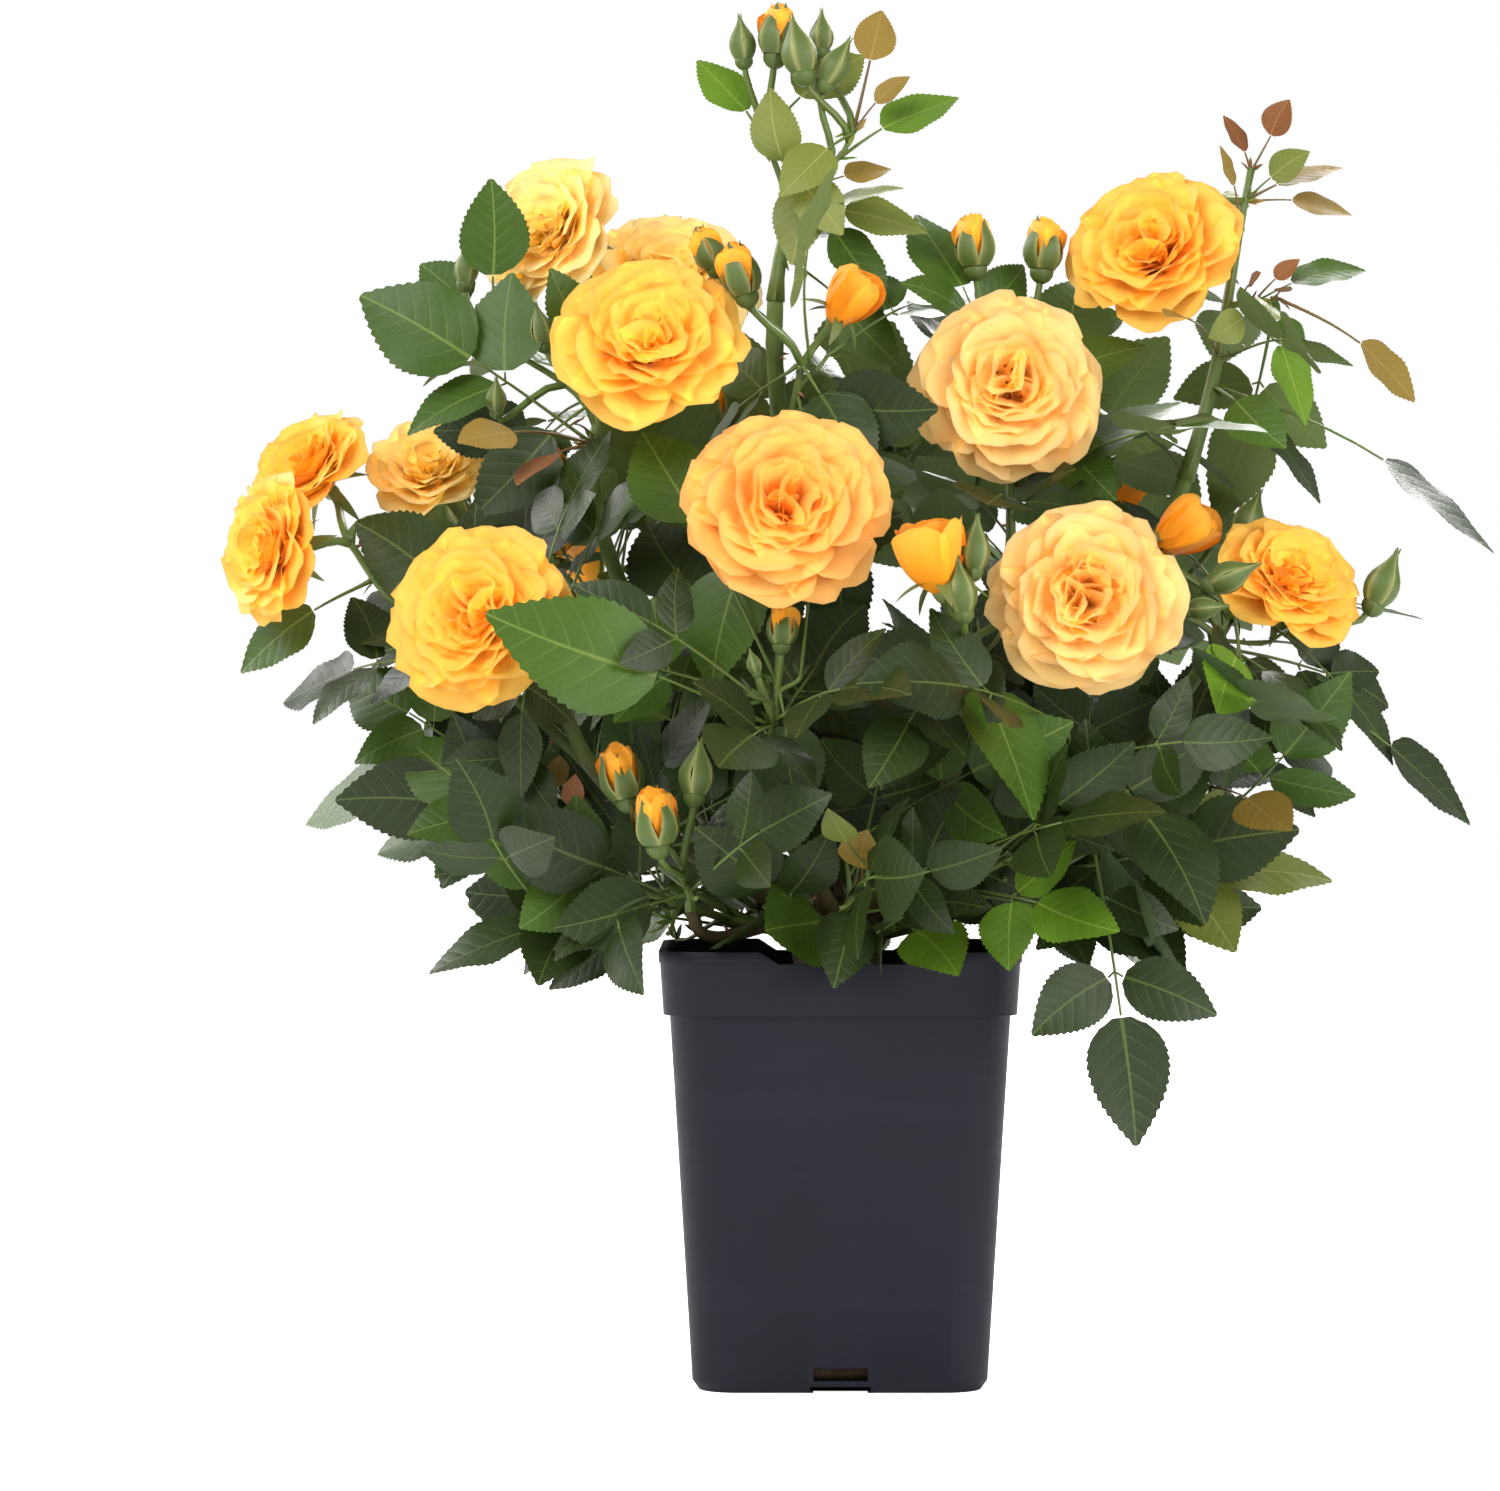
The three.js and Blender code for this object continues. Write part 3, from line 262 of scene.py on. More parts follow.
    {"name": "skirt_back_left", "aim": [130, 8], "crown": [-120, 108, 288], "more": 5, "fine": 7,
     "tint": "dark",
     "leaves": [[-104, 24, 240, 56, 1]]},
]

# on: the spray that carries it. at: the middle of the rosette. across: its diameter. wrap: how much
# further its petals close, in degrees, on a cup that is still opening. cupped: the same on an open one.
BLOOMS = [
    {"name": "front_centre", "on": "centre", "at": [-27, -112, 440], "faces": [0.05, -0.93, 0.3],
     "across": 104, "tone": "apricot"},
    {"name": "front_upper_left", "on": "upper_left", "at": [-95, -70, 523], "faces": [0, -0.85, 0.45],
     "across": 96, "tone": "deep"},
    {"name": "front_upper_right", "on": "centre_right", "at": [86, -42, 502], "faces": [0, -0.97, 0.2],
     "across": 97, "stamens": 34, "tone": "pale"},
    {"name": "front_right", "on": "right_front", "at": [120, -105, 394], "faces": [-0.05, -0.97, 0.1],
     "across": 98, "tone": "pale"},
    {"name": "front_left", "on": "left", "at": [-179, -95, 386], "faces": [-0.35, -0.85, 0.3],
     "across": 95, "tone": "deep"},
    {"name": "right_side", "on": "right_low", "at": [229, -22, 406], "faces": [0.3, -0.7, 0.6],
     "across": 80, "tone": "deep"},
    {"name": "right_top", "on": "tall_right", "at": [160, 6, 576], "faces": [-0.3, -0.75, 0.45],
     "across": 94, "tone": "deep"},
    # left_top, left_top_back and left_middle take the light petal colours: painted backlit glow on flowers
    # that lie in shade.
    {"name": "left_top", "on": "upper_left", "at": [-148, 12, 587], "faces": [-0.5, -0.7, 0.35],
     "across": 82, "tone": "light"},
    {"name": "left_top_back", "on": "upper_left", "at": [-86, 54, 566], "faces": [0.1, -0.72, 0.68],
     "across": 94, "tone": "light"},
    {"name": "left_middle", "on": "far_left", "at": [-211, 38, 464], "faces": [-0.1, -0.7, 0.68],
     "across": 72, "cupped": 16, "tone": "light"},
    {"name": "left_side_upper", "on": "far_left", "at": [-270, 12, 464], "faces": [-0.5, -0.6, 0.6],
     "across": 74, "cupped": 14, "tone": "deep"},
    {"name": "left_side_lower", "on": "far_left", "at": [-286, -46, 421], "faces": [-0.78, -0.6, 0.08],
     "across": 76, "tone": "deep"},
    {"name": "cup_front", "on": "right_front", "at": [44, -138, 413], "faces": [-0.25, -0.15, 1],
     "across": 34, "wrap": 2, "tone": "bud"},
    {"name": "cup_middle", "on": "middle", "at": [6, -32, 548], "faces": [0.5, -0.3, 0.7], "across": 30,
     "wrap": 26, "tone": "bud"},
    {"name": "cup_right", "on": "right_low", "at": [176, -10, 432], "faces": [0.75, -0.2, 0.5],
     "across": 31, "wrap": 14, "tone": "bud"},
    {"name": "back_left", "on": "back_left", "at": [-162, 168, 430], "faces": [-0.5, 0.7, 0.5],
     "across": 92, "tone": "deep"},
    {"name": "back_right", "on": "back_right", "at": [152, 172, 438], "faces": [0.5, 0.75, 0.45],
     "across": 90, "tone": "apricot"},
    {"name": "back_high", "on": "back", "at": [-4, 192, 478], "faces": [0, 0.85, 0.5], "across": 94,
     "tone": "pale"},
    {"name": "back_low", "on": "skirt_back", "at": [42, 216, 330], "faces": [0.2, 0.9, 0.4], "across": 84,
     "tone": "deep"},
]


# ---- shapes that are collected and joined ----
class Faces:
    """The faces of a shape: the corners of all of them in a row, and how many each has."""

    def __init__(self, faces):
        self.corners = np.array([corner for face in faces for corner in face], np.int32)
        self.sizes = np.array([len(face) for face in faces], np.int32)


class Pile:
    """Collects the shapes of one kind, in millimetres, and joins them in one mesh."""

    def __init__(self):
        self.points = []
        self.corners = []
        self.sizes = []
        self.maps = []
        self.tones = []
        self.count = 0
        self.nodes = set()

    def add(self, points, faces, chart, tone=0.5):
        self.points.append(points)
        self.corners.append(faces.corners + self.count)
        self.sizes.append(faces.sizes)
        self.maps.append(chart)
        self.tones.append(np.full(len(points), tone) if np.isscalar(tone) else tone)
        self.count += len(points)

    def mesh(self, name):
        corners = np.concatenate(self.corners)
        sizes = np.concatenate(self.sizes)
        made = bpy.data.meshes.new(name)
        made.vertices.add(self.count)
        made.vertices.foreach_set("co", (np.concatenate(self.points) * MM).astype(np.float32).ravel())
        made.loops.add(len(corners))
        made.loops.foreach_set("vertex_index", corners)
        made.polygons.add(len(sizes))
        made.polygons.foreach_set("loop_start", (np.cumsum(sizes) - sizes).astype(np.int32))
        made.polygons.foreach_set("use_smooth", np.ones(len(sizes), bool))
        chart = made.uv_layers.new(name="UVMap")
        chart.data.foreach_set("uv", np.concatenate(self.maps)[corners].astype(np.float32).ravel())
        tone = made.attributes.new("tone", "FLOAT", "POINT")
        tone.data.foreach_set("value", np.concatenate(self.tones).astype(np.float32))
        made.update(calc_edges=True)
        made.validate()
        return made


def grid_faces(rows, columns, closed=False):
    """Quads between rows of points. A closed grid joins each row's last point to its first."""
    across = columns if closed else columns - 1
    faces = []
    for row in range(rows - 1):
        for column in range(across):
            right = (column + 1) % columns
            faces.append((row * columns + column, row * columns + right,
                          (row + 1) * columns + right, (row + 1) * columns + column))
    return faces


def cap_faces(rows, columns, sides):
    """The two end faces of rows of points, where the first points of each row go round as sides."""
    last = (rows - 1) * columns
    return [tuple(range(sides - 1, -1, -1)), tuple(range(last, last + sides))]


TUBES = {}


def tube_faces(rings, sides, caps):
    """Faces of a tube. Its seam has a point on each side, so that the chart doesn't fold back."""
    key = (rings, sides, caps)
    if key not in TUBES:
        ends = cap_faces(rings, sides + 1, sides) if caps else []
        TUBES[key] = Faces(grid_faces(rings, sides + 1) + ends)
    return TUBES[key]


def ring_points(middle, radius, side, other, turn):
    """A ring round the middle. The radius is one number, or one for each step of the turn."""
    return middle + np.outer(np.cos(turn) * radius, side) + np.outer(np.sin(turn) * radius, other)


def round_chart(turn, heights):
    """Chart places of rings: once across for the turn, and up by the heights."""
    return np.stack([np.tile(turn / (2 * math.pi), len(heights)), np.repeat(heights, len(turn))], 1)


def tube(pile, path, radii, sides=8, caps=True, tone=0.5, lumps=None):
    """A tube along a path of points. lumps, if given, scales each ring's radius point by point."""
    path = np.asarray(path)
    radii = np.broadcast_to(radii, len(path))
    along = np.gradient(path, axis=0)
    along /= np.linalg.norm(along, axis=1)[:, None]
    start = UP if abs(along[0][2]) < 0.9 else vec(1, 0, 0)
    side = unit(np.cross(start, along[0]))
    turn = np.linspace(0, 2 * math.pi, sides + 1)
    rings = []
    for number, (middle, way, radius) in enumerate(zip(path, along, radii)):
        side = unit(side - way * np.dot(side, way))
        spread = radius if lumps is None else radius * lumps[number]
        rings.append(ring_points(middle, spread, side, np.cross(way, side), turn))
    steps = np.concatenate([[0], np.cumsum(np.linalg.norm(np.diff(path, axis=0), axis=1))])
    chart = round_chart(turn, steps / CHART)
    pile.add(np.concatenate(rings), tube_faces(len(path), sides, caps), chart, tone)


def lathe(pile, profile, foot, axis, sides=10, tone=0.5):
    """A turned shape: profile gives radius and height above the foot, along the axis."""
    guide = vec(1, 0, 0) if abs(axis[0]) < 0.8 else vec(0, 1, 0)
    side = unit(np.cross(guide, axis))
    other = np.cross(axis, side)
    turn = np.linspace(0, 2 * math.pi, sides + 1)
    rings = [ring_points(foot + axis * height, radius, side, other, turn) for radius, height in profile]
    chart = round_chart(turn, np.linspace(0, 1, len(profile)))
    pile.add(np.concatenate(rings), tube_faces(len(profile), sides, True), chart, tone)


class Bend:
    """A smooth path that leaves its foot along aim and reaches its tip along rise."""

    def __init__(self, foot, aim, tip, rise):
        pull = np.linalg.norm(tip - foot) * 0.36
        self.knots = np.array([foot, foot + aim * pull, tip - rise * pull, tip])

    def at(self, share):
        s = np.asarray(share, float)[..., None]
        a, b, c, d = self.knots
        return a * (1 - s) ** 3 + 3 * b * s * (1 - s) ** 2 + 3 * c * s * s * (1 - s) + d * s ** 3

    def way(self, share):
        s = float(share)
        a, b, c, d = self.knots
        return unit((b - a) * (1 - s) ** 2 + 2 * (c - b) * s * (1 - s) + (d - c) * s * s)

    def length(self):
        return float(np.linalg.norm(np.diff(self.at(np.linspace(0, 1, 60)), axis=0), axis=1).sum())


# petals_light holds petals whose lighter colours are painted backlit glow on shaded flowers.
PILES = {name: Pile() for name in (
    "leaves_dark", "leaves_mid", "leaves_bright", "leaves_olive", "leaves_tan", "leaves_red",
    "petals_deep", "petals_apricot", "petals_pale", "petals_light", "petals_bud",
    "calyxes", "stems", "canes", "prickly", "stamens")}


# ---- limbs and wood, by the part's rules ----
def compass(aim):
    turn, rise = map(math.radians, aim)
    return vec(math.cos(turn) * math.cos(rise), math.sin(turn) * math.cos(rise), math.sin(rise))


def from_union(aim):
    way = compass(aim)
    return vec(0, 0, UNION["heart"]) + way * UNION["width"] * 0.6, way


limbs = {}
for row in LIMBS:
    tip = vec(*row["tip"])
    if "aim" in row:
        foot, way = from_union(row["aim"])
    else:
        parent = limbs[row["from"]]["curve"]
        foot = parent.at(FORK)
        way = unit(unit(tip - foot) + parent.way(FORK))
    limbs[row["name"]] = {**row, "curve": Bend(foot, way, tip, unit(vec(*row["rise"])))}


def wood_of(row):
    """The stem of a spray and its side twigs."""
    crown = vec(*row["crown"])
    if "aim" in row:
        foot, way = from_union(row["aim"])
        radius = (2.8, 1.8)
    else:
        carrier = limbs[row["name"]]
        foot = vec(*carrier["tip"])
        way = unit(vec(*carrier["rise"]))
        radius = (carrier["radius"][1], 2.1)
    stem = Bend(foot, way, crown, unit(crown - foot))
    wood = [{"curve": stem, "radius": radius}]
    for end in row.get("twigs", []):
        end = vec(*end)
        foot = stem.at(TWIG)
        way = unit(end - foot)
        twig = Bend(foot, unit(way + stem.way(TWIG)), end, unit(way + UP))
        wood.append({"curve": twig, "radius": (2.1, 1.5)})
    return wood


def root_for(wood, target, length):
    """The point of the wood from which a shoot of that length would reach the target."""
    best = (math.inf, None, None)
    for piece in wood:
        for step in range(8):
            share = min(0.3 + 0.1 * step, 0.99)
            at = piece["curve"].at(share)
            miss = abs(np.linalg.norm(at - target) - length) + max(0, at[2] - target[2]) * 0.12
            if miss < best[0]:
                best = (miss, at, piece["curve"].way(share))
    return best[1], best[2]


def stalk_of(bloom, wood):
    """A flower's stalk, the way the flower faces, and its radius."""
    radius = bloom["across"] / 2
    faces = unit(vec(*bloom["faces"]))
    neck = vec(*bloom["at"]) - faces * radius * (CUP_SEAT if "wrap" in bloom else BLOOM_SEAT)
    stem = wood[0]["curve"]
    foot = stem.at(0.9)
    way = unit(unit(neck - foot) + stem.way(0.9))
    return Bend(foot, way, neck, faces), faces, radius


# ---- leaf blades ----
STATIONS = np.array([0.015, 0.1, 0.22, 0.35, 0.48, 0.61, 0.74, 0.87, 0.99])
TEETH = 16


def blade_width(t):
    """Width of a blade at that share of its length, about 1 at its widest."""
    return (t ** 0.6 * (1 - t) ** 1.05) / 0.3435


def blade_template():
    """Across and along of each point of a blade that is 1 long and 1 wide, and its faces."""
    points = [(0, t) for t in STATIONS]
    faces = []
    edge_t = np.linspace(STATIONS[0], STATIONS[-1], 2 * TEETH + 1)
    for hand in (1, -1):
        inner = len(points)
        points += [(hand * 0.275 * blade_width(t), t) for t in STATIONS]
        edge = len(points)
        for k, t in enumerate(edge_t):
            tooth = k % 2
            ahead = min(t + tooth * 0.016, 0.995)
            points.append((hand * 0.5 * blade_width(t) * (1 + 0.055 * tooth), ahead))
        for k in range(len(STATIONS) - 1):
            near = (k, k + 1, inner + k + 1, inner + k)
            rim = tuple(edge + 4 * k + step for step in (4, 3, 2, 1, 0))
            far = (inner + k, inner + k + 1, *rim)
            faces += [face[::-1] if hand > 0 else face for face in (near, far)]
    return np.array(points), Faces(faces)


BLADE_POINTS, BLADE_FACES = blade_template()


def blade(pile, base, way, lift, length, width, dice):
    """A toothed leaflet from its base along way, with its upper face to lift."""
    lift = unit(lift - way * np.dot(lift, way))
    lift = spin(lift, way, dice.normal(0, 0.22))
    side = np.cross(way, lift)
    x = BLADE_POINTS[:, 0] * width * length
    y = BLADE_POINTS[:, 1] * length
    t = BLADE_POINTS[:, 1]
    rim = np.abs(BLADE_POINTS[:, 0]) / 0.5
    fold = dice.uniform(0.03, 0.22)
    curl = dice.normal(0.12, 0.08)
    wave = dice.uniform(0.006, 0.024) * length
    phase = dice.uniform(0, 6.3)
    twist = dice.normal(0, 0.16)
    z = fold * np.abs(x) - 0.9 * fold * x * x / (width * length) - curl * length * (t * t - 0.6 * t)
    z += wave * rim ** 2 * np.sin(t * 13 + phase + np.sign(x) * 0.9)
    z += x * np.sin(twist * t)
    bow = dice.normal(0, 0.03) * length
    points = (base + np.outer(x + bow * t * (1 - t) * 4, side) + np.outer(y, way) + np.outer(z, lift))
    chart = np.stack([BLADE_POINTS[:, 0] * width + 0.5, t], 1)
    pile.add(points, BLADE_FACES, chart, float(dice.uniform(0, 1)))


# ---- compound leaves, by the part's rule ----
def leaf_plan(root, tip, size, pairs, roll, fill=0.62, facing=0.55):
    """Where the stalk and leaflets of a leaf go, and spots on them that show the room it takes."""
    reach = tip - root
    length = np.linalg.norm(reach)
    way = reach / length
    outward = unit((root + tip) / 2 - PLANT_HEART)
    light = outward * 0.6 + vec(0, -facing if tip[1] < 60 else 0.1, 0.5)
    lift = spin(unit(light - way * np.dot(light, way)), way, roll)
    span = min(size, length * fill)
    joint = length - span
    rows = [(joint - back * span, scale * span) for back, scale in [(0.28, 0.8), (0.95, 0.66)][:pairs]]
    rows = [row for row in rows if row[0] > 0.07 * length]
    plan = {"root": root, "way": way, "side": np.cross(lift, way), "lift": lift, "length": length,
            "joint": joint, "span": span, "pairs": rows}
    spots = [(joint * 0.4, 0)]
    blades = [(joint, 1, 0, span)]
    blades += [(start, 0.5, hand * 0.866, long) for start, long in rows for hand in (1, -1)]
    for start, ahead, aside, long in blades:
        for t, wide in ((0.2, 0.2), (0.5, 0.3), (0.75, 0.2), (1, 0)):
            for s in ((-wide, 0, wide) if wide else (0,)):
                spots.append((start + long * (t * ahead - s * aside), long * (t * aside + s * ahead)))
    plan["spots"] = leaf_points(plan, np.array(spots))
    return plan


def leaf_points(plan, spots):
    """Where points of the leaf's outline go: the stalk arches and the side leaflets droop."""
    along = spots[:, 0]
    across = spots[:, 1]
    arch = LEAF["arch"] * plan["length"] * np.sin(np.pi * np.maximum(0, along) / plan["length"])
    bent = np.where(along > plan["joint"], 0.2 * np.abs(across), -LEAF["droop"] * np.abs(across))
    return (plan["root"] + np.outer(along, plan["way"]) + np.outer(across, plan["side"])
            + np.outer(arch + bent, plan["lift"]))


flowers = [(vec(*b["at"]), unit(vec(*b["faces"])), b["across"] / 2) for b in BLOOMS]
bud_spots = np.array([bud[:3] for row in SPRAYS for bud in row.get("buds", [])], float)


def crowding(plan, taken, strict, margin=0):
    """How badly a leaf lies: in the pot, in a flower, over a bud, or close to what is there.

    Where strict is true, leaving the crown and hiding a flower count as well, and buds count more.
    """
    spots = plan["spots"]
    low = (spots[:, 2] < POT["height"] + 3) & (np.abs(spots[:, :2]).max(1) < POT["rim"] + 4)
    count = 6 * int(low.sum())
    if strict:
        outside = np.linalg.norm((spots - CROWN_MIDDLE) / CROWN_REACH, axis=1) > 1
        count += 3 * int((outside | (spots[:, 1] < FRONT)).sum())
    for middle, faces, radius in flowers:
        away = spots - middle
        ahead = away @ faces
        aside = np.sqrt(np.maximum(0, (away * away).sum(1) - ahead * ahead))
        inside = (np.abs(ahead) < radius * 0.45) & (aside < radius * 1.05)
        count += 4 * int(inside.sum())
        if strict:
            count += 3 * int((~inside & (ahead > 0) & (ahead < 150) & (aside < radius + margin)).sum())
            hides = (away[:, 1] < 0) & (np.hypot(away[:, 0], away[:, 2]) < radius)
            count += 4 * int((hides & (middle[1] < 100)).sum())
    away = spots[:, None] - bud_spots[None]
    hides = (away[:, :, 1] < 6) & (np.hypot(away[:, :, 0], away[:, :, 2]) < BUD_CLEAR)
    count += (4 if strict else 1) * int((hides & (bud_spots[None, :, 1] < 60)).sum())
    free = spots[np.linalg.norm(spots - plan["root"], axis=1) >= ROOM * 1.5]
    if len(free) and len(taken):
        gaps = (free * free).sum(1)[:, None] + (taken * taken).sum(1)[None] - 2 * free @ taken.T
        count += int((gaps < ROOM * ROOM).sum())
    return count


class Taken:
    """The spots that leaves and wood already hold."""

    def __init__(self):
        self.points = np.zeros((0, 3))

    def add(self, points):
        self.points = np.concatenate([self.points, points])

    def near(self, middle, reach):
        return self.points[np.linalg.norm(self.points - middle, axis=1) < reach]


taken = Taken()
SIXTEEN = (np.arange(16) + 0.5) / 16
woods = {row["name"]: wood_of(row) for row in SPRAYS}
for limb in limbs.values():
    taken.add(limb["curve"].at(SIXTEEN))
for row in SPRAYS:
    for piece in woods[row["name"]]:
        taken.add(piece["curve"].at(SIXTEEN))
for bloom in BLOOMS:
    taken.add(stalk_of(bloom, woods[bloom["on"]])[0].at(SIXTEEN))


def settle(choices, limit, margin=0):
    """The choice with the most room, or None if even that is too crowded."""
    near = taken.near(choices[0]["root"], choices[0]["length"] + 120)
    counts = [crowding(plan, near, limit < math.inf, margin) for plan in choices]
    least = min(counts)
    if least > limit:
        return None
    best = choices[counts.index(least)]
    taken.add(best["spots"])
    return best


def placed_leaf(wood, leaf, turn):
    """A leaf with its tip in a given place, moved in depth to where it has the most room."""
    x, y, z, size, pairs = leaf[:5]
    facing = leaf[6] if len(leaf) > 6 else 1.1
    choices = []
    for shift in (0, -9, 9, -18, 18, 27, -27):
        for reach in ((LEAF["reach"], 1.8, 2.8) if pairs else (1.5, 1.9)):
            tip = vec(x, y + shift, z)
            root = root_for(wood, tip, size * reach)[0]
            for roll in (0, 0.3, -0.3):
                choices.append(leaf_plan(root, tip, size, pairs, turn + roll, 0.74, facing))
    return settle(choices, math.inf)


def rule_leaf(curve, share, size, angle, roll, limit, reach, margin=0):
    """A leaf that the rule adds, turned to where it has the most room, or None."""
    root = curve.at(share)
    along = curve.way(share)
    outward = unit(root - PLANT_HEART)
    choices = []
    for turn in range(6):
        for climb in (0.1, 0.7):
            side = spin(unit(np.cross(UP, along)), along, angle + turn * 1.05)
            way = unit(side + outward * 0.6 + UP * climb)
            choices.append(leaf_plan(root, root + way * size * reach, size, 1, roll))
    return settle(choices, limit, margin)


def grow_leaf(plan, tint, dice, thick=1.0):
    """The stalk, wings and leaflets of a compound leaf."""
    pile = PILES["leaves_" + tint]
    lift = plan["lift"]
    size = plan["span"]
    path = leaf_points(plan, np.stack([np.linspace(-1, plan["joint"] + 2, 7), np.zeros(7)], 1))
    green = 0.75 if tint in ("tan", "red") else 0.3
    tube(PILES["stems"], path, np.linspace(LEAF["rachis"], 0.62, 7) * thick, sides=5, tone=green)
    way = unit(leaf_points(plan, np.array([[plan["length"], 0]]))[0] - path[-1])
    wide = dice.uniform(0.62, 0.76)
    tip = plan["root"] + plan["way"] * plan["length"]
    blade(pile, path[-1], way, lift, np.linalg.norm(tip - path[-1]), wide, dice)
    rows = list(plan["pairs"])
    if rows and rows[-1][0] - 0.62 * size > 0.2 * plan["length"]:
        rows.append((rows[-1][0] - 0.62 * size, 0.62 * size))
    for start, long in rows:
        for hand in (1, -1):
            begin = start + dice.uniform(-0.03, 0.03) * size
            ends = leaf_points(plan, np.array([[begin, 0], [begin + 0.05 * long, hand * 0.07 * long],
                                               [begin + 0.5 * long, hand * 0.866 * long]]))
            tube(PILES["stems"], ends[:2], 0.55, sides=4, tone=green)
            lean = unit(unit(ends[2] - ends[1]) + lift * dice.normal(0, 0.12))
            face = lift + plan["way"] * dice.normal(0, 0.15)
            blade(pile, ends[1], lean, face, long * 0.95, wide * dice.uniform(0.92, 1.08), dice)
    wings(plan, pile, thick, dice)


def wings(plan, pile, thick, dice):
    """The two narrow wings at the foot of a leaf's stalk."""
    for hand in (1, -1):
        foot = leaf_points(plan, np.array([[1.0, hand * 0.8]]))[0]
        way = unit(plan["way"] * 0.9 + plan["side"] * hand * 0.45)
        blade(pile, foot, way, plan["lift"], 9.5 * thick, 0.3, dice)


# ---- flowers ----
PETAL_ROWS = 8
PETAL_COLUMNS = 9
PETAL_FACES = Faces(grid_faces(PETAL_ROWS, PETAL_COLUMNS))
# How far up and across the petal each point of it lies.
PETAL_S, PETAL_C = np.meshgrid(
    np.linspace(0, 1, PETAL_ROWS), np.linspace(-1, 1, PETAL_COLUMNS), indexing="ij")

# Each ring of an open flower, in radii: petals, length, half width, rise at base and tip, ruffle.
RINGS = [
    (6, 1.03, 0.50, 42, -14, 0.055), (6, 1.00, 0.50, 47, -4, 0.06), (6, 0.95, 0.48, 52, 8, 0.06),
    (7, 0.87, 0.43, 57, 22, 0.06), (7, 0.79, 0.39, 63, 34, 0.065), (6, 0.71, 0.37, 69, 46, 0.07),
    (5, 0.61, 0.33, 75, 54, 0.07),
]
# The folded petals in its heart stand in groups, each with these rings.
HEARTS = 3
HEART_RINGS = [(3, 0.58, 0.34, 76, 48, 0.06), (2, 0.5, 0.28, 82, 76, 0.05)]
# Each ring of a cup, in the same form.
CUP_RINGS = [
    (4, 2.15, 0.95, 62, 84, 0.03), (4, 2.1, 0.85, 68, 96, 0.03), (4, 2.0, 0.75, 74, 104, 0.03),
    (3, 1.85, 0.6, 80, 106, 0.03),
]


def petal(pile, turn, seat, ring, radius, axes, middle, dice, tone):
    """One petal: it leaves the seat at the base rise, bends to the tip rise, and cups round its axis."""
    length, half, base, tip, ruffle = ring
    s = PETAL_S * (1 - 0.2 * np.abs(PETAL_C) ** 2.4 * PETAL_S)
    notch = dice.uniform(-0.01, 0.06)
    s = s * (1 - notch * np.exp(-(PETAL_C / 0.2) ** 2) * PETAL_S ** 4)
    s = s * (1 + 0.025 * np.sin(PETAL_C * dice.uniform(4, 9) + notch * 90) * PETAL_S ** 3)
    steps = np.linspace(0, 1, 24)
    rise = np.radians(mix(base, tip, steps ** 1.2))
    slide = np.concatenate([[0], np.cumsum((np.cos(rise[1:]) + np.cos(rise[:-1])) / 2)]) / 23 * length
    climb = np.concatenate([[0], np.cumsum((np.sin(rise[1:]) + np.sin(rise[:-1])) / 2)]) / 23 * length
    out = np.interp(s, steps, slide) + seat[0]
    height = np.interp(s, steps, climb) + seat[1]
    lean = np.interp(s, steps, rise)
    wide = half * (0.2 + 0.8 * np.sin(np.minimum(1, s / 0.72) * math.pi / 2) ** 0.9)
    across = PETAL_C * wide
    cup = mix(0.85, 0.42, min(1, max(0, (base - 40) / 50))) * max(length, 0.6)
    normal = cup * (1 - np.cos(across / cup))
    across = cup * np.sin(across / cup)
    flare = dice.uniform(0.02, 0.1) * (1 if tip < 60 else 0.4)
    normal -= flare * s ** 4 * (0.4 + PETAL_C ** 2) * half * 2
    phase = dice.uniform(0, 6.3)
    waves = dice.uniform(1.4, 3.6)
    normal += ruffle * s ** 2 * np.sin(PETAL_C * waves * 2 + phase) * (0.5 + 0.5 * np.abs(PETAL_C))
    normal += dice.normal(0, 0.03) * np.sin(s * 5 + phase)
    across = across + dice.normal(0, 0.05) * s * s
    x = out - np.sin(lean) * normal
    z = height + np.cos(lean) * normal
    points = np.stack([x.ravel(), across.ravel(), z.ravel()], 1) * radius
    turning = np.array([[math.cos(turn), -math.sin(turn), 0], [math.sin(turn), math.cos(turn), 0], [0, 0, 1]])
    points = middle + points @ turning.T @ axes
    chart = np.stack([PETAL_C.ravel() * 0.5 + 0.5, PETAL_S.ravel()], 1)
    pile.add(points, PETAL_FACES, chart, tone)


def axes_of(faces, roll):
    """Rows: two axes across the flower and the way it faces."""
    guide = vec(1, 0, 0) if abs(faces[0]) < 0.8 else vec(0, 0, 1)
    first = spin(unit(np.cross(guide, faces)), faces, roll)
    return np.array([first, np.cross(faces, first), faces])


def round_axes(axes, turn):
    """The way out at that angle round a flower."""
    return axes[0] * math.cos(turn) + axes[1] * math.sin(turn)


SEPAL_FACES = Faces(grid_faces(7, 3))


def sepal(foot, way, lift, length, width):
    """A narrow pointed green blade that curls back from its upper face."""
    t = np.linspace(0, 1, 7)
    half = width / 2 * np.sin(np.pi * np.clip(t * 0.86 + 0.14, 0, 1)) ** 0.8 * (1 - 0.35 * t)
    half[-1] = 0.15
    lift = unit(lift - way * np.dot(lift, way))
    side = np.cross(way, lift)
    bend = -0.5 * t
    slide = np.concatenate([[0], np.cumsum(np.cos(bend[1:]))]) / 6 * length
    rise = np.concatenate([[0], np.cumsum(np.sin(bend[1:]))]) / 6 * length
    rows = []
    for c in (-1, 0, 1):
        rows.append(foot + np.outer(slide, way) + np.outer(rise + abs(c) * half * 0.35, lift)
                    + np.outer(c * half, side))
    points = np.stack(rows, 1).reshape(-1, 3)
    chart = np.stack([np.tile([0, 0.5, 1], 7), np.repeat(t, 3)], 1)
    PILES["calyxes"].add(points, SEPAL_FACES, chart, 0.4)


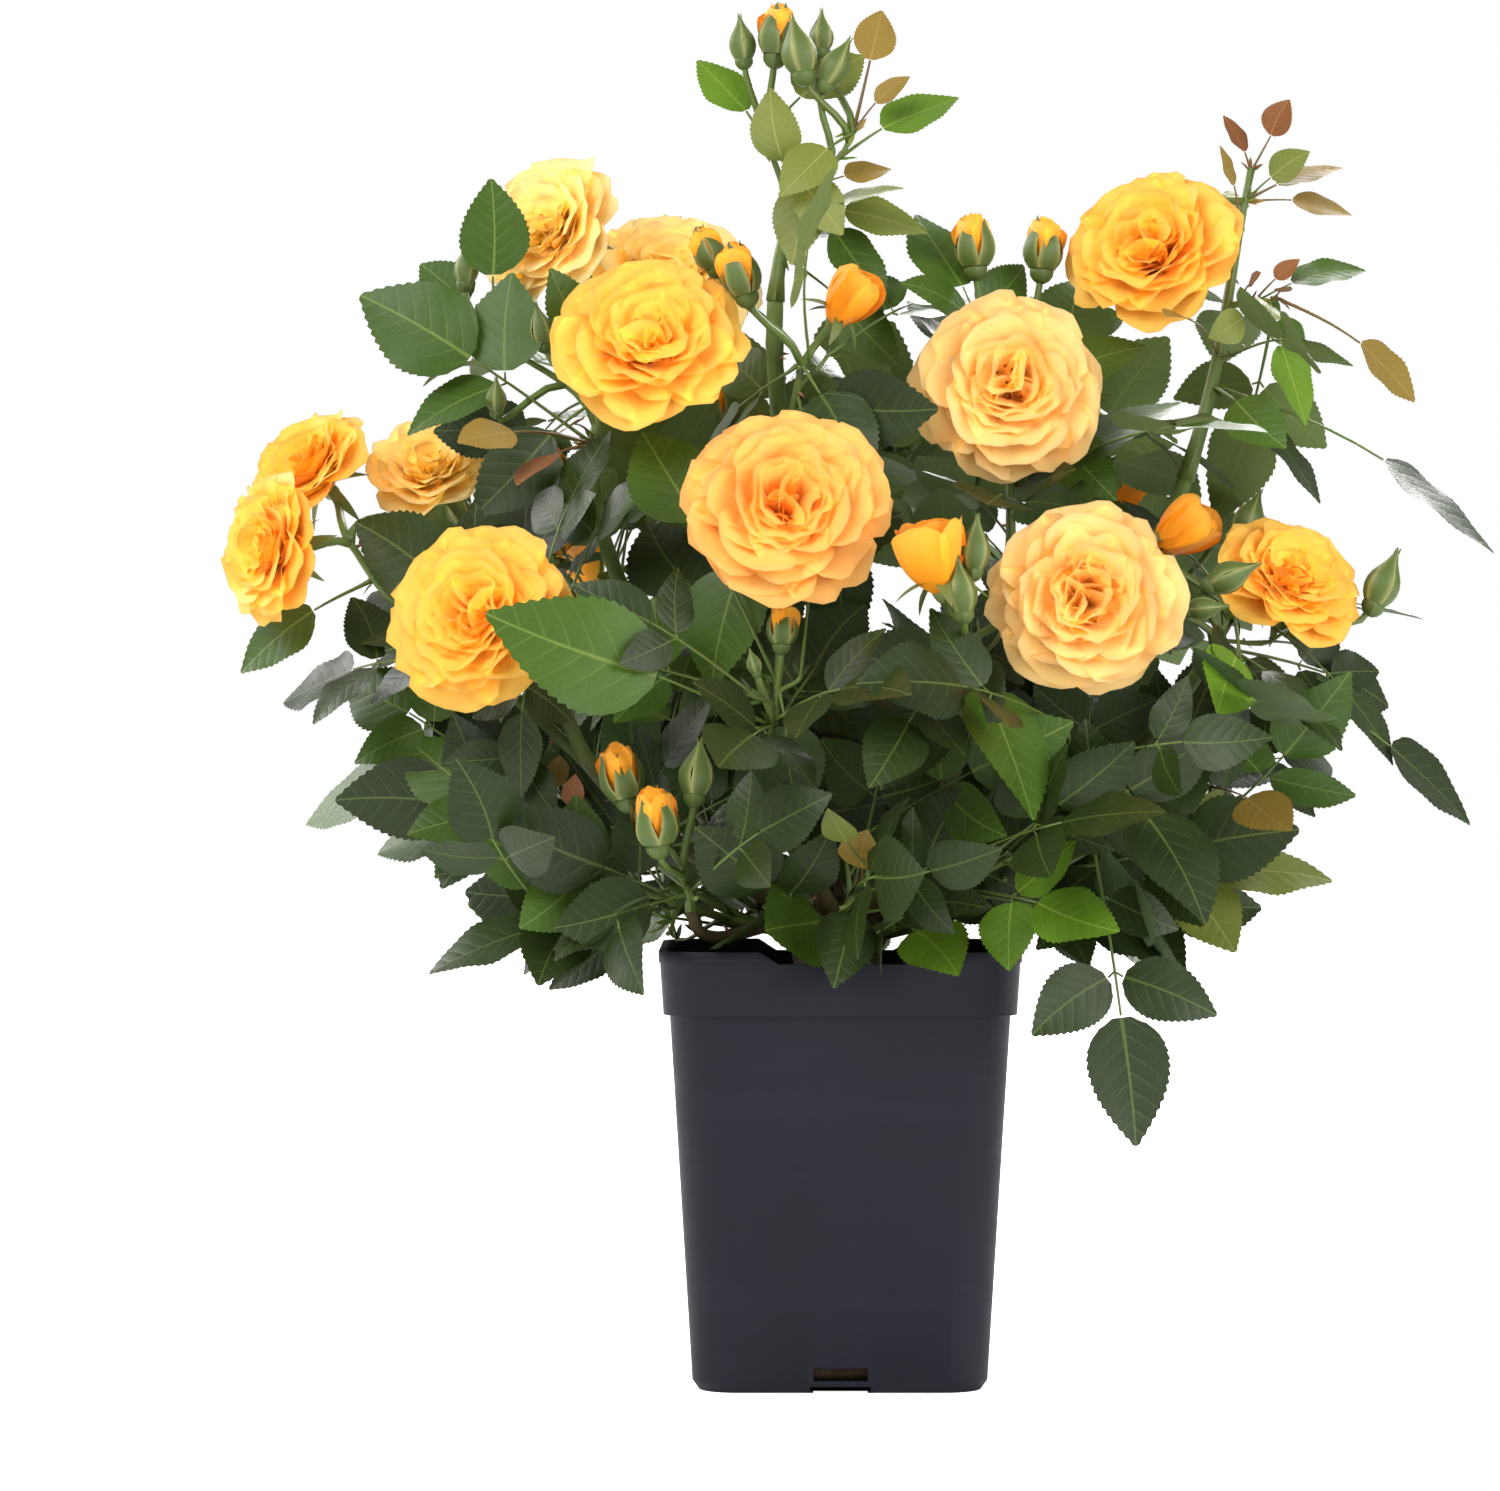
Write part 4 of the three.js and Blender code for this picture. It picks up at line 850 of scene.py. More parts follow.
# Hips, as radius and height: in radii of the hip under a flower, and in half lengths of a bud.
HIP = [(0.4, -1.6), (0.75, -1.2), (1, -0.6), (0.95, 0), (0.72, 0.5), (0.6, 0.8)]
BUD_HIP = [(0.12, -1.04), (0.25, -0.96), (0.35, -0.82), (0.37, -0.68), (0.34, -0.54)]


def calyx(neck, faces, radius, spread, sepals_long, dice):
    """The hip under a flower and its five sepals, which lie spread degrees off the stalk's line."""
    lathe(PILES["calyxes"], [(r * radius, h * radius) for r, h in HIP], neck, faces, sides=9, tone=0.5)
    axes = axes_of(faces, dice.uniform(0, 6.3))
    for k in range(5):
        out = round_axes(axes, 2 * math.pi * k / 5 + dice.normal(0, 0.12))
        off = math.radians(spread + dice.normal(0, 12))
        way = unit(faces * math.cos(off) + out * math.sin(off))
        foot = neck + out * radius * 0.55 + faces * radius * 0.7
        inner = unit(faces * math.sin(off) - out * math.cos(off))
        sepal(foot, way, inner, sepals_long * dice.uniform(0.85, 1.1), radius * 1.5)


def flower_start(bloom, wood, dice):
    """What every flower starts with: stalk, the way it faces, radius, pile, middle and axes."""
    stalk, faces, radius = stalk_of(bloom, wood)
    pile = PILES["petals_" + bloom["tone"]]
    pile.nodes.add("bloom_" + bloom["name"])
    return stalk, faces, radius, pile, vec(*bloom["at"]), axes_of(faces, dice.uniform(0, 6.3))


def own_sizes(ring, dice, long, wide, sway, cupped=0):
    """The sizes of one petal of a ring, a little off the ring's own. sway: of its two rises."""
    length, half, base, tip, ruffle = ring
    return (length * dice.uniform(*long), half * dice.uniform(*wide),
            base + cupped * 0.4 + dice.normal(0, sway[0]), tip + cupped + dice.normal(0, sway[1]), ruffle)


def open_flower(bloom, wood, dice):
    """A full rosette: rings of petals, a folded heart, and a calyx that is bent back."""
    stalk, faces, radius, pile, middle, axes = flower_start(bloom, wood, dice)
    lobes = dice.integers(3, 6)
    for number, (count, *sizes) in enumerate(RINGS):
        depth = number / (len(RINGS) - 1)
        seat = (mix(0.08, 0.03, depth), mix(-0.36, -0.28, depth))
        for k in range(count):
            turn = GOLDEN * number + 2 * math.pi * (k + dice.normal(0, 0.12)) / count
            turn += 0.13 * depth * math.sin(lobes * turn)
            sway = (3, 5 + 7 * depth)
            ring = own_sizes(sizes, dice, (0.93, 1.04), (0.88, 1.12), sway, bloom.get("cupped", 0))
            petal(pile, turn, seat, ring, radius, axes, middle, dice, depth * 0.6 + dice.uniform(0, 0.2))
    for heart in range(HEARTS):
        off = round_axes(axes, 2 * math.pi * (heart + dice.normal(0, 0.1)) / HEARTS)
        own_axes = axes_of(unit(faces + off * dice.uniform(0.15, 0.45)), dice.uniform(0, 6.3))
        own_middle = middle + off * radius * dice.uniform(0.16, 0.27)
        for number, (count, *sizes) in enumerate(HEART_RINGS):
            for k in range(count):
                turn = GOLDEN * number + 2 * math.pi * (k + dice.normal(0, 0.12)) / count
                ring = own_sizes(sizes, dice, (0.85, 1.05), (0.85, 1.2), (6, 12))
                tone = 0.5 + dice.uniform(0, 0.35)
                petal(pile, turn, (0.03, -0.28), ring, radius, own_axes, own_middle, dice, tone)
    for k in range(bloom.get("stamens", 0)):
        out = round_axes(axes, GOLDEN * k) * radius * 0.3 * math.sqrt(k / bloom["stamens"])
        foot = middle + out * 0.6 - faces * radius * 0.3
        tip = middle + out + faces * radius * dice.uniform(0.02, 0.12)
        tube(PILES["stamens"], [foot, (foot + tip) / 2 + out * 0.1, tip], 0.35, sides=4, tone=0.2)
        anther = [(0.5, -0.6), (0.9, 0), (0.5, 0.7)]
        lathe(PILES["stamens"], anther, tip, unit(faces + out * 0.1), sides=5, tone=0.9)
    calyx(stalk.at(1.0) - faces * 3.4, faces, 4.6, 118, 24, dice)
    return stalk


def cup_flower(bloom, wood, dice):
    """A cup that is still opening: wrapped petals on a calyx."""
    stalk, faces, radius, pile, middle, axes = flower_start(bloom, wood, dice)
    for number, (count, length, half, base, tip, ruffle) in enumerate(CUP_RINGS):
        depth = number / (len(CUP_RINGS) - 1)
        for k in range(count):
            turn = GOLDEN * number + 2 * math.pi * (k + dice.normal(0, 0.08)) / count
            ring = (length * dice.uniform(0.94, 1.03), half, base + dice.normal(0, 2),
                    tip + bloom["wrap"] + dice.normal(0, 3), ruffle)
            petal(pile, turn, (mix(0.3, 0.08, depth), -1.0), ring, radius, axes, middle, dice, depth)
    calyx(stalk.at(1.0) - faces, faces, radius * 0.3, 105, radius * 1.4, dice)
    return stalk


# A bud's girth, in bellies, at heights in half lengths.
BUD_HEIGHTS = np.array([-0.58, -0.42, -0.2, 0.05, 0.3, 0.55, 0.75, 0.92])
BUD_GIRTH = np.array([0.62, 0.84, 0.98, 0.98, 0.82, 0.52, 0.28, 0.1])
SEPAL_ROWS = 9
SEPAL_COLUMNS = 5
BUD_SEPAL_FACES = Faces(grid_faces(SEPAL_ROWS, SEPAL_COLUMNS))


def bud_petals(middle, rise, half, belly, opened, axes, dice):
    """The petals that show at the top of a bud that opens, and the core that fills it."""
    for number in range(3):
        for k in range(3):
            turn = GOLDEN * number + 2.1 * k + dice.normal(0, 0.1)
            tall = mix(1.3, 1.6, opened) * (1 + 0.05 * number)
            ring = (tall, mix(0.66, 0.4, number / 2), 62 + 8 * number, 112 - 4 * number, 0.03)
            seat = (belly * 0.42 - 0.08 * number, -0.6)
            petal(PILES["petals_bud"], turn, seat, ring, half, axes, middle, dice, 0.3 + 0.3 * number)
    core = [(belly * half * r, h * half) for r, h in ((0.5, -0.5), (0.75, 0), (0.3, 0.6))]
    lathe(PILES["petals_bud"], core, middle, rise, sides=9, tone=0.9)


def bud_sepal(middle, rise, half, belly, opened, axes, turn, dice):
    """One of the five sepals that wrap a bud. Its tip stands off as the bud opens."""
    t = np.linspace(0, 1, SEPAL_ROWS)
    height = mix(-0.6, mix(1.2, dice.uniform(0.45, 0.85), opened), t)
    hug = np.interp(height, BUD_HEIGHTS, BUD_GIRTH * belly) * 1.06 + 0.035
    hug = hug + opened * dice.uniform(0.0, 0.5) * t ** 4
    wide = mix(0.36, 0.3, opened) * belly / 0.5 * (1 - t ** mix(2.6, 1.5, opened)) ** 0.9 + 0.012
    wide = np.minimum(wide, hug * 0.66)
    columns = np.linspace(-1, 1, SEPAL_COLUMNS)
    rows = []
    for c in columns:
        spread = turn + c * wide / np.maximum(hug, 0.05)
        lip = 1 + 0.05 * c * c
        out = np.outer(np.cos(spread) * hug * lip, axes[0]) + np.outer(np.sin(spread) * hug * lip, axes[1])
        rows.append(middle + half * (np.outer(height, rise) + out))
    chart = np.stack([np.tile((columns + 1) / 2, SEPAL_ROWS), np.repeat(t, SEPAL_COLUMNS)], 1)
    edge = np.tile(np.abs(columns), SEPAL_ROWS) ** 3
    PILES["calyxes"].add(np.stack(rows, 1).reshape(-1, 3), BUD_SEPAL_FACES, chart, 0.1 + 0.75 * edge)


def grow_bud(bud, wood, dice):
    """A bud on its stalk: a hip, petals if it opens, and five sepals."""
    *middle, heading, length, opened = bud
    middle = vec(*middle)
    rise = unit(vec(*heading))
    half = length / 2
    foot = middle - rise * 0.7 * half
    root, along = root_for(wood, foot, BUD_STALK)
    stem_tube(Bend(root, unit(unit(foot - root) + along), foot, rise), (2.1, 1.7), 0.3)
    lathe(PILES["calyxes"], [(r * half, h * half) for r, h in BUD_HIP], middle, rise, sides=9, tone=0.1)
    belly = mix(0.47, 0.6, opened)
    axes = axes_of(rise, dice.uniform(0, 6.3))
    if opened > 0.3:
        bud_petals(middle, rise, half, belly, opened, axes, dice)
    for k in range(5):
        turn = 2 * math.pi * (k + 0.5) / 5 + dice.normal(0, 0.05)
        bud_sepal(middle, rise, half, belly, opened, axes, turn, dice)


# ---- the plant grows ----
def stem_tube(curve, radius, tone, sides=7, swell=0.0):
    """A green stem, with a swelling at each end."""
    steps = max(6, int(curve.length() / 9))
    share = np.linspace(0, 1, steps)
    knots = np.exp(-(share / 0.06) ** 2) + np.exp(-((1 - share) / 0.05) ** 2)
    thick = np.linspace(*radius, steps) * (1 + swell * knots)
    tube(PILES["stems"], curve.at(share), thick, sides=sides, tone=tone)


def grow_spray(row, number):
    """The wood of a spray, its leaves and its buds."""
    wood = woods[row["name"]]
    dice = np.random.default_rng(SEED + number)
    PILES["stems"].nodes.add("spray_" + row["name"])
    for piece in wood:
        root, tip = piece["radius"]
        stem_tube(piece["curve"], (root, tip * 0.8), 0.3, sides=9, swell=0.2)
        tube(PILES["prickly"], piece["curve"].at(SIXTEEN), tip, sides=6, caps=False)
    for key, salt, sway, thick in (("leaves", 1, 0.4, 1.0), ("young", 9, 0.6, 0.7)):
        for k, leaf in enumerate(row.get(key, [])):
            plan = placed_leaf(wood, leaf, (chance(number, k, salt) - 0.5) * sway)
            grow_leaf(plan, leaf[5] if len(leaf) > 5 else row["tint"], dice, thick)
    for k in range(row["more"]):
        share = 0.2 + (0.75 * (k + 0.5)) / row["more"]
        size = LEAF["size"] * mix(0.8, 1.05, chance(number, k, 2))
        roll = (chance(number, k, 3) - 0.5) * 0.8
        plan = rule_leaf(wood[0]["curve"], share, size, number + GOLDEN * k, roll, 8, LEAF["reach"])
        if plan:
            grow_leaf(plan, row["tint"], dice)
    for bud in row.get("buds", []):
        grow_bud(bud, wood, dice)


def fine_twig(row, number, k, dice):
    """A thin side twig with one or two small leaves."""
    stem = woods[row["name"]][0]["curve"]
    share = 0.25 + 0.7 * (k + 0.5) / row["fine"]
    root = stem.at(share)
    along = stem.way(share)
    side = spin(unit(np.cross(UP, along)), along, 2 + number + GOLDEN * k)
    way = unit(side + unit(root - PLANT_HEART) * 0.7 + UP * 0.4)
    end = root + way * mix(16, 38, chance(number, k, 8))
    curve = Bend(root, unit(way + along), end, unit(way + UP * 0.5))
    grown = []
    for j, spot in enumerate((0.5, 0.99)):
        size = mix(44, 62, chance(number, k, 5, j))
        roll = (chance(number, k, 6, j) - 0.5) * 0.8
        plan = rule_leaf(curve, spot, size, number + GOLDEN * (k + 2.3 * j), roll, 12, 2.3, 8)
        if plan:
            grown.append(plan)
    if not grown:
        return
    taken.add(curve.at(SIXTEEN))
    stem_tube(curve, (1.5, 1.0), 0.35, sides=6, swell=0.25)
    for j, plan in enumerate(grown):
        tint = row["tint"] if chance(number, k, 7, j) < 0.7 else "mid"
        grow_leaf(plan, tint, dice, 0.85)


def grow_limb(limb, number):
    """A cane, with joints that stand out a little and an uneven skin."""
    dice = np.random.default_rng(SEED + 300 + number)
    curve = limb["curve"]
    steps = max(14, int(curve.length() / 5))
    share = np.linspace(0, 1, steps)
    joints = 1 + 0.09 * np.maximum(0, np.sin(share * curve.length() / 7 + number)) ** 6
    lumps = 1 + dice.normal(0, 0.018, (steps, 13))
    lumps[:, -1] = lumps[:, 0]
    lumps[-1] = 1
    thick = np.linspace(*limb["radius"], steps) * joints
    tube(PILES["canes"], curve.at(share), thick, sides=12, tone=np.repeat(share, 13), lumps=lumps)
    PILES["canes"].nodes.add("cane_" + limb["name"])
    tube(PILES["prickly"], curve.at(SIXTEEN), np.linspace(*limb["radius"], 16), sides=6, caps=False)


for number, row in enumerate(SPRAYS):
    grow_spray(row, number)
for number, row in enumerate(SPRAYS):
    dice = np.random.default_rng(SEED + 100 + number)
    for k in range(row["fine"]):
        fine_twig(row, number, k, dice)
for number, bloom in enumerate(BLOOMS):
    dice = np.random.default_rng(SEED + 200 + number)
    grow = cup_flower if "wrap" in bloom else open_flower
    stem_tube(grow(bloom, woods[bloom["on"]], dice), (2.2, 2.0), 0.3, swell=0.15)
for number, limb in enumerate(limbs.values()):
    grow_limb(limb, number)


# ---- finishes ----
class Value:
    """A number or colour that varies over a surface. Working with it adds Math nodes to its tree."""

    def __init__(self, socket):
        self.socket = socket

    def __add__(self, other):
        return calc("ADD", self, other)

    def __sub__(self, other):
        return calc("SUBTRACT", self, other)

    def __rsub__(self, other):
        return calc("SUBTRACT", other, self)

    def __mul__(self, other):
        return calc("MULTIPLY", self, other)

    def clamped(self):
        """The same, held between 0 and 1."""
        self.socket.node.use_clamp = True
        return self


def plug(socket, value):
    """Feeds a socket from another one or from a Value, or sets it. A hex code is a colour."""
    source = value.socket if isinstance(value, Value) else value
    if isinstance(source, bpy.types.NodeSocket):
        socket.id_data.links.new(source, socket)
    else:
        socket.default_value = linear(source) if isinstance(source, str) else source


def add_node(tree, kind, inputs=(), **settings):
    """A node of that kind. inputs: what goes in its sockets, by number or name."""
    node = tree.nodes.new(kind)
    for key, value in settings.items():
        setattr(node, key, value)
    for socket, value in dict(inputs).items():
        plug(node.inputs[socket], value)
    return node


def calc(operation, *values):
    """A Math node's result. At least one of the values is a Value."""
    tree = next(value.socket.id_data for value in values if isinstance(value, Value))
    return Value(add_node(tree, "ShaderNodeMath", enumerate(values), operation=operation).outputs[0])


def blend(share, first, second):
    """A colour between two, by a share that varies over the surface."""
    colours = {0: share, 6: first, 7: second}
    node = add_node(share.socket.id_data, "ShaderNodeMix", colours, data_type="RGBA")
    return Value(node.outputs[2])


def new_group(name, inputs, outputs):
    """A group of shader nodes whose sockets are numbers: its inputs with their values, and outputs."""
    group = bpy.data.node_groups.new(name, "ShaderNodeTree")
    kind = "NodeSocketFloat"
    for label, value in inputs.items():
        group.interface.new_socket(label, in_out="INPUT", socket_type=kind).default_value = value
    for label in outputs:
        group.interface.new_socket(label, in_out="OUTPUT", socket_type=kind)
    return group, group.nodes.new("NodeGroupInput").outputs, group.nodes.new("NodeGroupOutput").inputs


def make_veins():
    """Veins of a leaf from its chart: a midrib, curved side veins, and puckers between them."""
    group, given, out = new_group("leaf_veins", {"Side Veins": 8.0}, ("Vein", "Relief"))
    chart = add_node(group, "ShaderNodeUVMap", uv_map="UVMap").outputs[0]
    split = add_node(group, "ShaderNodeSeparateXYZ", {0: chart}).outputs
    along = Value(split[1])
    off = Value(split[0]) - 0.5
    across = calc("ABSOLUTE", off)
    hand = calc("GREATER_THAN", off, 0.0) * 0.45
    row = along - (across * 0.62 + across * across * 0.9)
    wave = calc("PINGPONG", row * given[0] + hand, 0.5)
    fade = (1.0 - across * 2.6).clamped()
    side_vein = (1.0 - wave * 15.0).clamped() * fade
    midrib = (1.0 - across * (along * 60.0 + 38.0)).clamped()
    cells = {"Vector": chart, "Scale": 34.0}
    net = add_node(group, "ShaderNodeTexVoronoi", cells, feature="DISTANCE_TO_EDGE")
    thread = (1.0 - Value(net.outputs[0]) * 9.0).clamped()
    vein = calc("MAXIMUM", calc("MAXIMUM", midrib, side_vein * 0.5), thread * 0.12)
    slope = 1.0 - wave * 2.0
    pucker = (1.0 - slope * slope) * fade
    plug(out[0], vein)
    plug(out[1], pucker - vein * 0.6)
    return group


def make_mottle():
    """Soft patches and fine grain that don't repeat, in object space."""
    group, given, out = new_group("mottle", {"Size": 40.0, "Grain": 900.0}, ("Patch", "Fine"))
    place = add_node(group, "ShaderNodeTexCoord").outputs["Object"]
    for scale, detail, target in zip(given, (3.0, 2.0), out):
        noise = add_node(group, "ShaderNodeTexNoise", {"Vector": place, "Scale": scale, "Detail": detail})
        plug(target, noise.outputs[0])
    return group


VEINS = make_veins()
MOTTLE = make_mottle()


class Finish:
    """A material: one Principled shader, fed by nodes."""

    def __init__(self, name, rough, specular, **values):
        self.made = bpy.data.materials.new(name)
        self.made.use_nodes = True
        self.tree = self.made.node_tree
        self.shader = self.tree.nodes["Principled BSDF"]
        for socket, value in {"Roughness": rough, "Specular_IOR_Level": specular, **values}.items():
            self.feed(socket.replace("_", " "), value)

    def feed(self, socket, value):
        plug(self.shader.inputs[socket], value)

    def value(self, kind, inputs=(), output=0, **settings):
        """An output of a new shader node."""
        return Value(add_node(self.tree, "ShaderNode" + kind, inputs, **settings).outputs[output])

    def tone(self):
        """The tone that each shape in a pile was given."""
        return self.value("Attribute", output="Fac", attribute_name="tone")

    def chart(self):
        return self.value("UVMap", uv_map="UVMap")

    def mottle(self, size, grain):
        """Soft patches, and fine grain."""
        node = add_node(self.tree, "ShaderNodeGroup", {0: size, 1: grain}, node_tree=MOTTLE)
        return Value(node.outputs[0]), Value(node.outputs[1])

    def streaks(self, place, stretch, scale, detail):
        """Noise that is drawn out one way."""
        drawn = self.value("Mapping", {"Vector": place, "Scale": stretch})
        return self.value("TexNoise", {"Vector": drawn, "Scale": scale, "Detail": detail})

    def bump(self, strength, distance, height):
        """Relief from a height. It is the last thing that a finish needs, so it gives the material."""
        relief = {"Strength": strength, "Distance": distance, "Height": height}
        self.feed("Normal", self.value("Bump", relief))
        return self.made


def leaf_finish(name, dark, light, vein, under, shine):
    """A leaf: glossy above with pale veins, matt and paler below."""
    finish = Finish(name, shine, 0.3)
    veins = add_node(finish.tree, "ShaderNodeGroup", {0: 7.0}, node_tree=VEINS).outputs
    line = Value(veins[0])
    patch, grain = finish.mottle(30.0, 700.0)
    part = ((patch * 0.7 + finish.tone() * 0.45).clamped() - 0.1).clamped()
    top = blend(line * 0.52, blend(part, dark, light), vein)
    below = blend(line * 0.5, under, vein)
    back = finish.value("NewGeometry", output="Backfacing")
    finish.feed("Base Color", blend(back, top, below))
    finish.feed("Roughness", calc("MAXIMUM", grain * 0.16 + (shine - 0.06), back * 0.68))
    return finish.bump(0.3, 0.0004, veins[1])


def petal_finish(name, base, body, edge, under):
    """A petal: deep at its base, pale at its rim, with fine lines that run to the rim."""
    finish = Finish(name, 0.52, 0.2, Sheen_Weight=0.1, Sheen_Roughness=0.5, Subsurface_Weight=0.75,
                    Subsurface_Radius=(1.0, 0.75, 0.28), Subsurface_Scale=0.011)
    finish.shader.subsurface_method = "BURLEY"
    chart = finish.chart()
    along = finish.value("SeparateXYZ", {0: chart}, 1)
    patch, _ = finish.mottle(70.0, 600.0)
    lines = finish.streaks(chart, (42, 2.2, 1), 1.0, 2.0)
    reach = along + (patch - 0.5) * 0.35 - finish.tone() * 0.22
    reach = (reach + (lines - 0.5) * 0.14).clamped()
    ramp = add_node(finish.tree, "ShaderNodeValToRGB", {0: reach})
    ramp.color_ramp.elements[1].position = 0.97
    ramp.color_ramp.elements.new(0.5)
    for stop, colour in zip(ramp.color_ramp.elements, (base, body, edge)):
        stop.color = linear(colour)
    back = finish.value("NewGeometry", output="Backfacing")
    finish.feed("Base Color", blend(back * 0.45, ramp.outputs[0], under))
    return finish.bump(0.25, 0.0006, lines)


def green_finish(name, fresh, dull, warm, rough):
    """Young wood and calyxes: green, flushed with a warmer colour where the tone is high."""
    finish = Finish(name, rough, 0.45)
    patch, grain = finish.mottle(55.0, 1400.0)
    tone = finish.tone()
    flush = (((patch - 0.35).clamped() + tone) * tone).clamped()
    finish.feed("Base Color", blend(flush, blend(patch, fresh, dull), warm))
    return finish.bump(0.25, 0.0004, grain)


def bark_finish():
    """Canes: brown and cracked low down, green in patches higher up."""
    finish = Finish("bark", 0.6, 0.35)
    place = finish.value("TexCoord", output="Object")
    z = finish.value("SeparateXYZ", {0: place}, 2)
    patch, _ = finish.mottle(60.0, 1100.0)
    cracks = finish.streaks(finish.chart(), (9, 1.6, 1), 3.0, 5.0)
    height = finish.value("MapRange", {0: z, 1: 0.235, 2: 0.36})
    part = (height + (patch - 0.5) * 0.9).clamped()
    wood = blend(cracks, "#2e2318", "#6b5a3a")
    green = blend(patch, "#4f6b2c", "#6b7c3c")
    finish.feed("Base Color", blend(part, wood, green))
    return finish.bump(0.6, 0.0012, cracks)


def pot_finish():
    """Dark moulded plastic, with faint level scuffs and dusty patches."""
    finish = Finish("pot_plastic", 0.5, 0.25)
    patch, grain = finish.mottle(14.0, 1600.0)
    scuffs = finish.streaks(finish.value("TexCoord", output="Object"), (7, 7, 110), 1.0, 4.0)
    dust = ((scuffs - 0.5).clamped() * patch * 1.6).clamped()
    finish.feed("Base Color", blend(dust, blend(patch, "#13131d", "#181825"), "#272734"))
    finish.feed("Roughness", scuffs * 0.22 + 0.4)
    return finish.bump(0.12, 0.0003, grain)


def soil_finish(name, paler):
    """Damp dark compost. paler: how much of it is bits of bark, from 0 to 1."""
    finish = Finish(name, 0.92, 0.25)
    patch, grain = finish.mottle(120.0, 900.0)
    body = blend(patch, "#17110c", "#3a2b1e")
    finish.feed("Base Color", blend((patch * paler).clamped(), body, "#5a4028"))
    return finish.bump(0.8, 0.002, grain)


# The dark and light of the body, veins, underside, and roughness.
LEAF_LOOKS = {
    "dark": ("#1a270c", "#2d3e14", "#6f833d", "#4e613b", 0.38),
    "mid": ("#30480e", "#46641a", "#8a9e48", "#687d46", 0.4),
    "bright": ("#4a6c14", "#688c22", "#a6b850", "#839c4a", 0.42),
    "olive": ("#626d28", "#838a3a", "#b3b168", "#8c9460", 0.42),
    "tan": ("#7d6a28", "#9c7c38", "#b99a55", "#978254", 0.44),
    "red": ("#6b3a1c", "#95602c", "#b48a50", "#8f6c42", 0.42),
}
# A petal's base, body, edge and back. light is a paler, yellower copy of these colours with painted glow: it
# stands in for the backlight on three flowers that lie in shade.
PETAL_LOOKS = {
    "deep": ("#ffa008", "#ffae1c", "#fdc44c", "#ffcc5c"),
    "apricot": ("#ff940c", "#ffa424", "#fcb958", "#fbc670"),
    "pale": ("#fc9e1a", "#fbb03e", "#f8ca78", "#f5d288"),
    "light": ("#ffbc34", "#ffcc58", "#ffe08c", "#ffe49c"),
    "bud": ("#fb960c", "#ffa41c", "#ffb83c", "#ffb230"),
}
BARK = bark_finish()


# ---- pieces ----
def put(name, mesh, material, nodes=()):
    """A piece of the plant, which rides on the part's one body."""
    if not mesh.materials:
        mesh.materials.append(material)
    piece = bpy.data.objects.new(name, mesh)
    scene.collection.objects.link(piece)
    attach(piece, "root")
    if nodes:
        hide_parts(*sorted(nodes))
    return piece


def put_pile(name, material):
    """A pile's shapes as one piece."""
    put(name, PILES[name].mesh(name), material, PILES[name].nodes)


for tint, looks in LEAF_LOOKS.items():
    put_pile("leaves_" + tint, leaf_finish("leaf_" + tint, *looks))
for tone, looks in PETAL_LOOKS.items():
    put_pile("petals_" + tone, petal_finish("petal_" + tone, *looks))
put_pile("calyxes", green_finish("calyx_green", "#576b2b", "#465b26", "#a5a566", 0.5))
put_pile("stems", green_finish("green_stem", "#5c7d34", "#4c6a2c", "#7d4a2c", 0.45))
put_pile("canes", BARK)
put_pile("stamens", green_finish("stamen", "#d08a24", "#b06818", "#7a3a12", 0.6))


# ---- prickles and chips, strewn by geometry trees ----
def strewn_tree(name, sizes):
    """A geometry tree that strews one small shape over a surface. sizes: its inputs and values."""
    tree = bpy.data.node_groups.new(name, "GeometryNodeTree")
    new_socket = tree.interface.new_socket
    new_socket("Geometry", in_out="INPUT", socket_type="NodeSocketGeometry")
    for label, value in sizes.items():
        kind = "NodeSocketInt" if label == "Seed" else "NodeSocketFloat"
        new_socket(label, in_out="INPUT", socket_type=kind).default_value = value
    new_socket("Material", in_out="INPUT", socket_type="NodeSocketMaterial")
    new_socket("Geometry", in_out="OUTPUT", socket_type="NodeSocketGeometry")
    given = tree.nodes.new("NodeGroupInput").outputs
    spread = add_node(tree, "GeometryNodeDistributePointsOnFaces", {
        "Mesh": given["Geometry"], "Density": given["Density"], "Seed": given["Seed"]}).outputs
    place = add_node(tree, "GeometryNodeInstanceOnPoints", {"Points": spread["Points"]})
    real = add_node(tree, "GeometryNodeRealizeInstances", {0: place.outputs[0]})
    dress = add_node(tree, "GeometryNodeSetMaterial", {
        "Geometry": real.outputs[0], "Material": given["Material"]})
    add_node(tree, "NodeGroupOutput", {0: dress.outputs[0]})
    return tree, given, spread, place.inputs


def random_value(tree, low, high, seed):
    """A random vector for each point."""
    node = add_node(tree, "FunctionNodeRandomValue", data_type="FLOAT_VECTOR")
    for socket, value in ((0, low), (1, high), ("Seed", seed)):
        plug(node.inputs[socket], value)
    return node.outputs[0]


def strewn(name, ground, tree, sizes, material):
    """The realized mesh of such a tree on the ground mesh, as a piece."""
    holder = bpy.data.objects.new(name + "_ground", ground)
    scene.collection.objects.link(holder)
    modifier = holder.modifiers.new(name, "NODES")
    modifier.node_group = tree
    values = {**sizes, "Material": material}
    for socket in tree.interface.items_tree:
        if socket.in_out == "INPUT" and socket.name in values:
            modifier[socket.identifier] = values[socket.name]
    mesh = bpy.data.meshes.new_from_object(holder.evaluated_get(bpy.context.evaluated_depsgraph_get()))
    mesh.name = name
    holder.modifiers.clear()
    bpy.data.objects.remove(holder)
    put(name, mesh, material)


